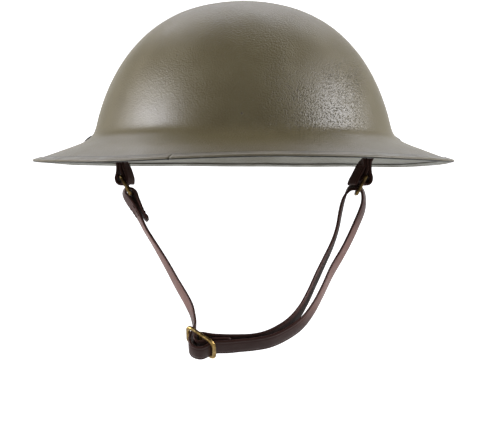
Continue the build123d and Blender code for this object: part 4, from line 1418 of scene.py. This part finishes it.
# the paper glows behind the object, and faintly everywhere else
fx = floor_mat.xyz()
glow = floor_mat.math("MULTIPLY", floor_mat.maprange(floor_mat.math("ABSOLUTE", fx["X"]), 2.1, 3.1, 1.0, 0.0, smooth=True), floor_mat.maprange(fx["Y"], 3.5, 4.2, 0.0, 1.0, smooth=True))
glow = floor_mat.math("MULTIPLY", glow, floor_mat.maprange(fx["Z"], 1.7, 3.0, 1.0, 0.0, smooth=True))
glow = floor_mat.math("MULTIPLY", glow, floor_mat.maprange(fx["Z"], -1.7, -1.0, 0.0, 1.0, smooth=True))
floor_mat.b.inputs["Emission Color"].default_value = (1, 1, 1, 1)
faint = floor_mat.maprange(fx["Z"], 1.8, 4.4, 0.25, 0.05, smooth=True)
floor_mat.l(floor_mat.math("MAXIMUM", floor_mat.math("MULTIPLY", glow, 1.15), faint), floor_mat.b.inputs["Emission Strength"])
sp = Soup()
prof = [(-22000.0, -3300.0), (4000.0, -3300.0)]
for g in np.linspace(0, math.pi / 2, 14)[1:]:
    prof.append((4000 + 2000 * math.sin(g), -3300 + 2000 * (1 - math.cos(g))))
prof.append((6000.0, 5600.0))
rows = [[(x, y, z) for y, z in prof] for x in np.linspace(-24000, 24000, 13)]
sp.grid(rows)
cyc = sp.obj("studio_floor", floor_mat.m)

world = bpy.data.worlds.new("studio")
bpy.context.scene.world = world
world.use_nodes = True
bg = world.node_tree.nodes["Background"]
bg.inputs["Color"].default_value = (0.93, 0.95, 1.0, 1)
# pale round the horizon, so that the floor has no edge, and dim overhead
wc = world.node_tree.nodes.new("ShaderNodeTexCoord")
ws = world.node_tree.nodes.new("ShaderNodeSeparateXYZ")
wm = world.node_tree.nodes.new("ShaderNodeMapRange")
wm.interpolation_type = "SMOOTHSTEP"
for i, v in enumerate((0.02, 0.55, 0.36, 0.075)):
    wm.inputs[i + 1].default_value = v
world.node_tree.links.new(wc.outputs["Generated"], ws.inputs["Vector"])
world.node_tree.links.new(ws.outputs["Z"], wm.inputs["Value"])
world.node_tree.links.new(wm.outputs["Result"], bg.inputs["Strength"])


def area(name, loc, target, size, power, color=(1, 1, 1)):
    d = bpy.data.lights.new(name, "AREA")
    d.shape = "RECTANGLE"
    d.size, d.size_y = size
    d.energy = power
    d.color = color
    o = bpy.data.objects.new(name, d)
    o.location = loc
    v = Vector(target) - Vector(loc)
    o.rotation_euler = v.to_track_quat("-Z", "Y").to_euler()
    bpy.context.scene.collection.objects.link(o)
    return o


area("soft_left", (-1.36, -0.25, 0.47), (0, 0, 0.03), (0.90, 0.70), 26, (0.985, 0.99, 1.06))
area("soft_right", (1.38, -0.20, 0.56), (0, 0, 0.03), (0.95, 0.75), 25.5, (0.985, 0.995, 1.07))
area("soft_top", (0.0, 0.90, 1.10), (0, 0, 0.05), (1.5, 0.7), 9.0, (0.985, 0.99, 1.06))
area("front_fill", (0.0, -2.6, 1.5), (0, 0, -0.05), (1.6, 1.2), 0.6)
area("low_bounce", (0.0, -1.7, -1.35), (0, 0, 0.0), (2.0, 1.2), 2.6)
area("low_back", (0.0, 1.75, -1.20), (0, 0, 0.0), (1.8, 0.9), 7.5, (0.95, 1.0, 0.93))

cam_data = bpy.data.cameras.new("camera")
cam_data.sensor_width = 36.0
cam_data.sensor_fit = "HORIZONTAL"
cam_data.lens = 158.8
cam_data.shift_x = 0.5 / 488
cam_data.clip_end = 50
cam = bpy.data.objects.new("camera", cam_data)
cam.location = (0, -1.5, -0.0432)
cam.rotation_euler = (math.pi / 2, 0, 0)
bpy.context.scene.collection.objects.link(cam)
bpy.context.scene.camera = cam
bpy.context.scene.view_settings.view_transform = "Standard"
bpy.context.scene.view_settings.look = "None"
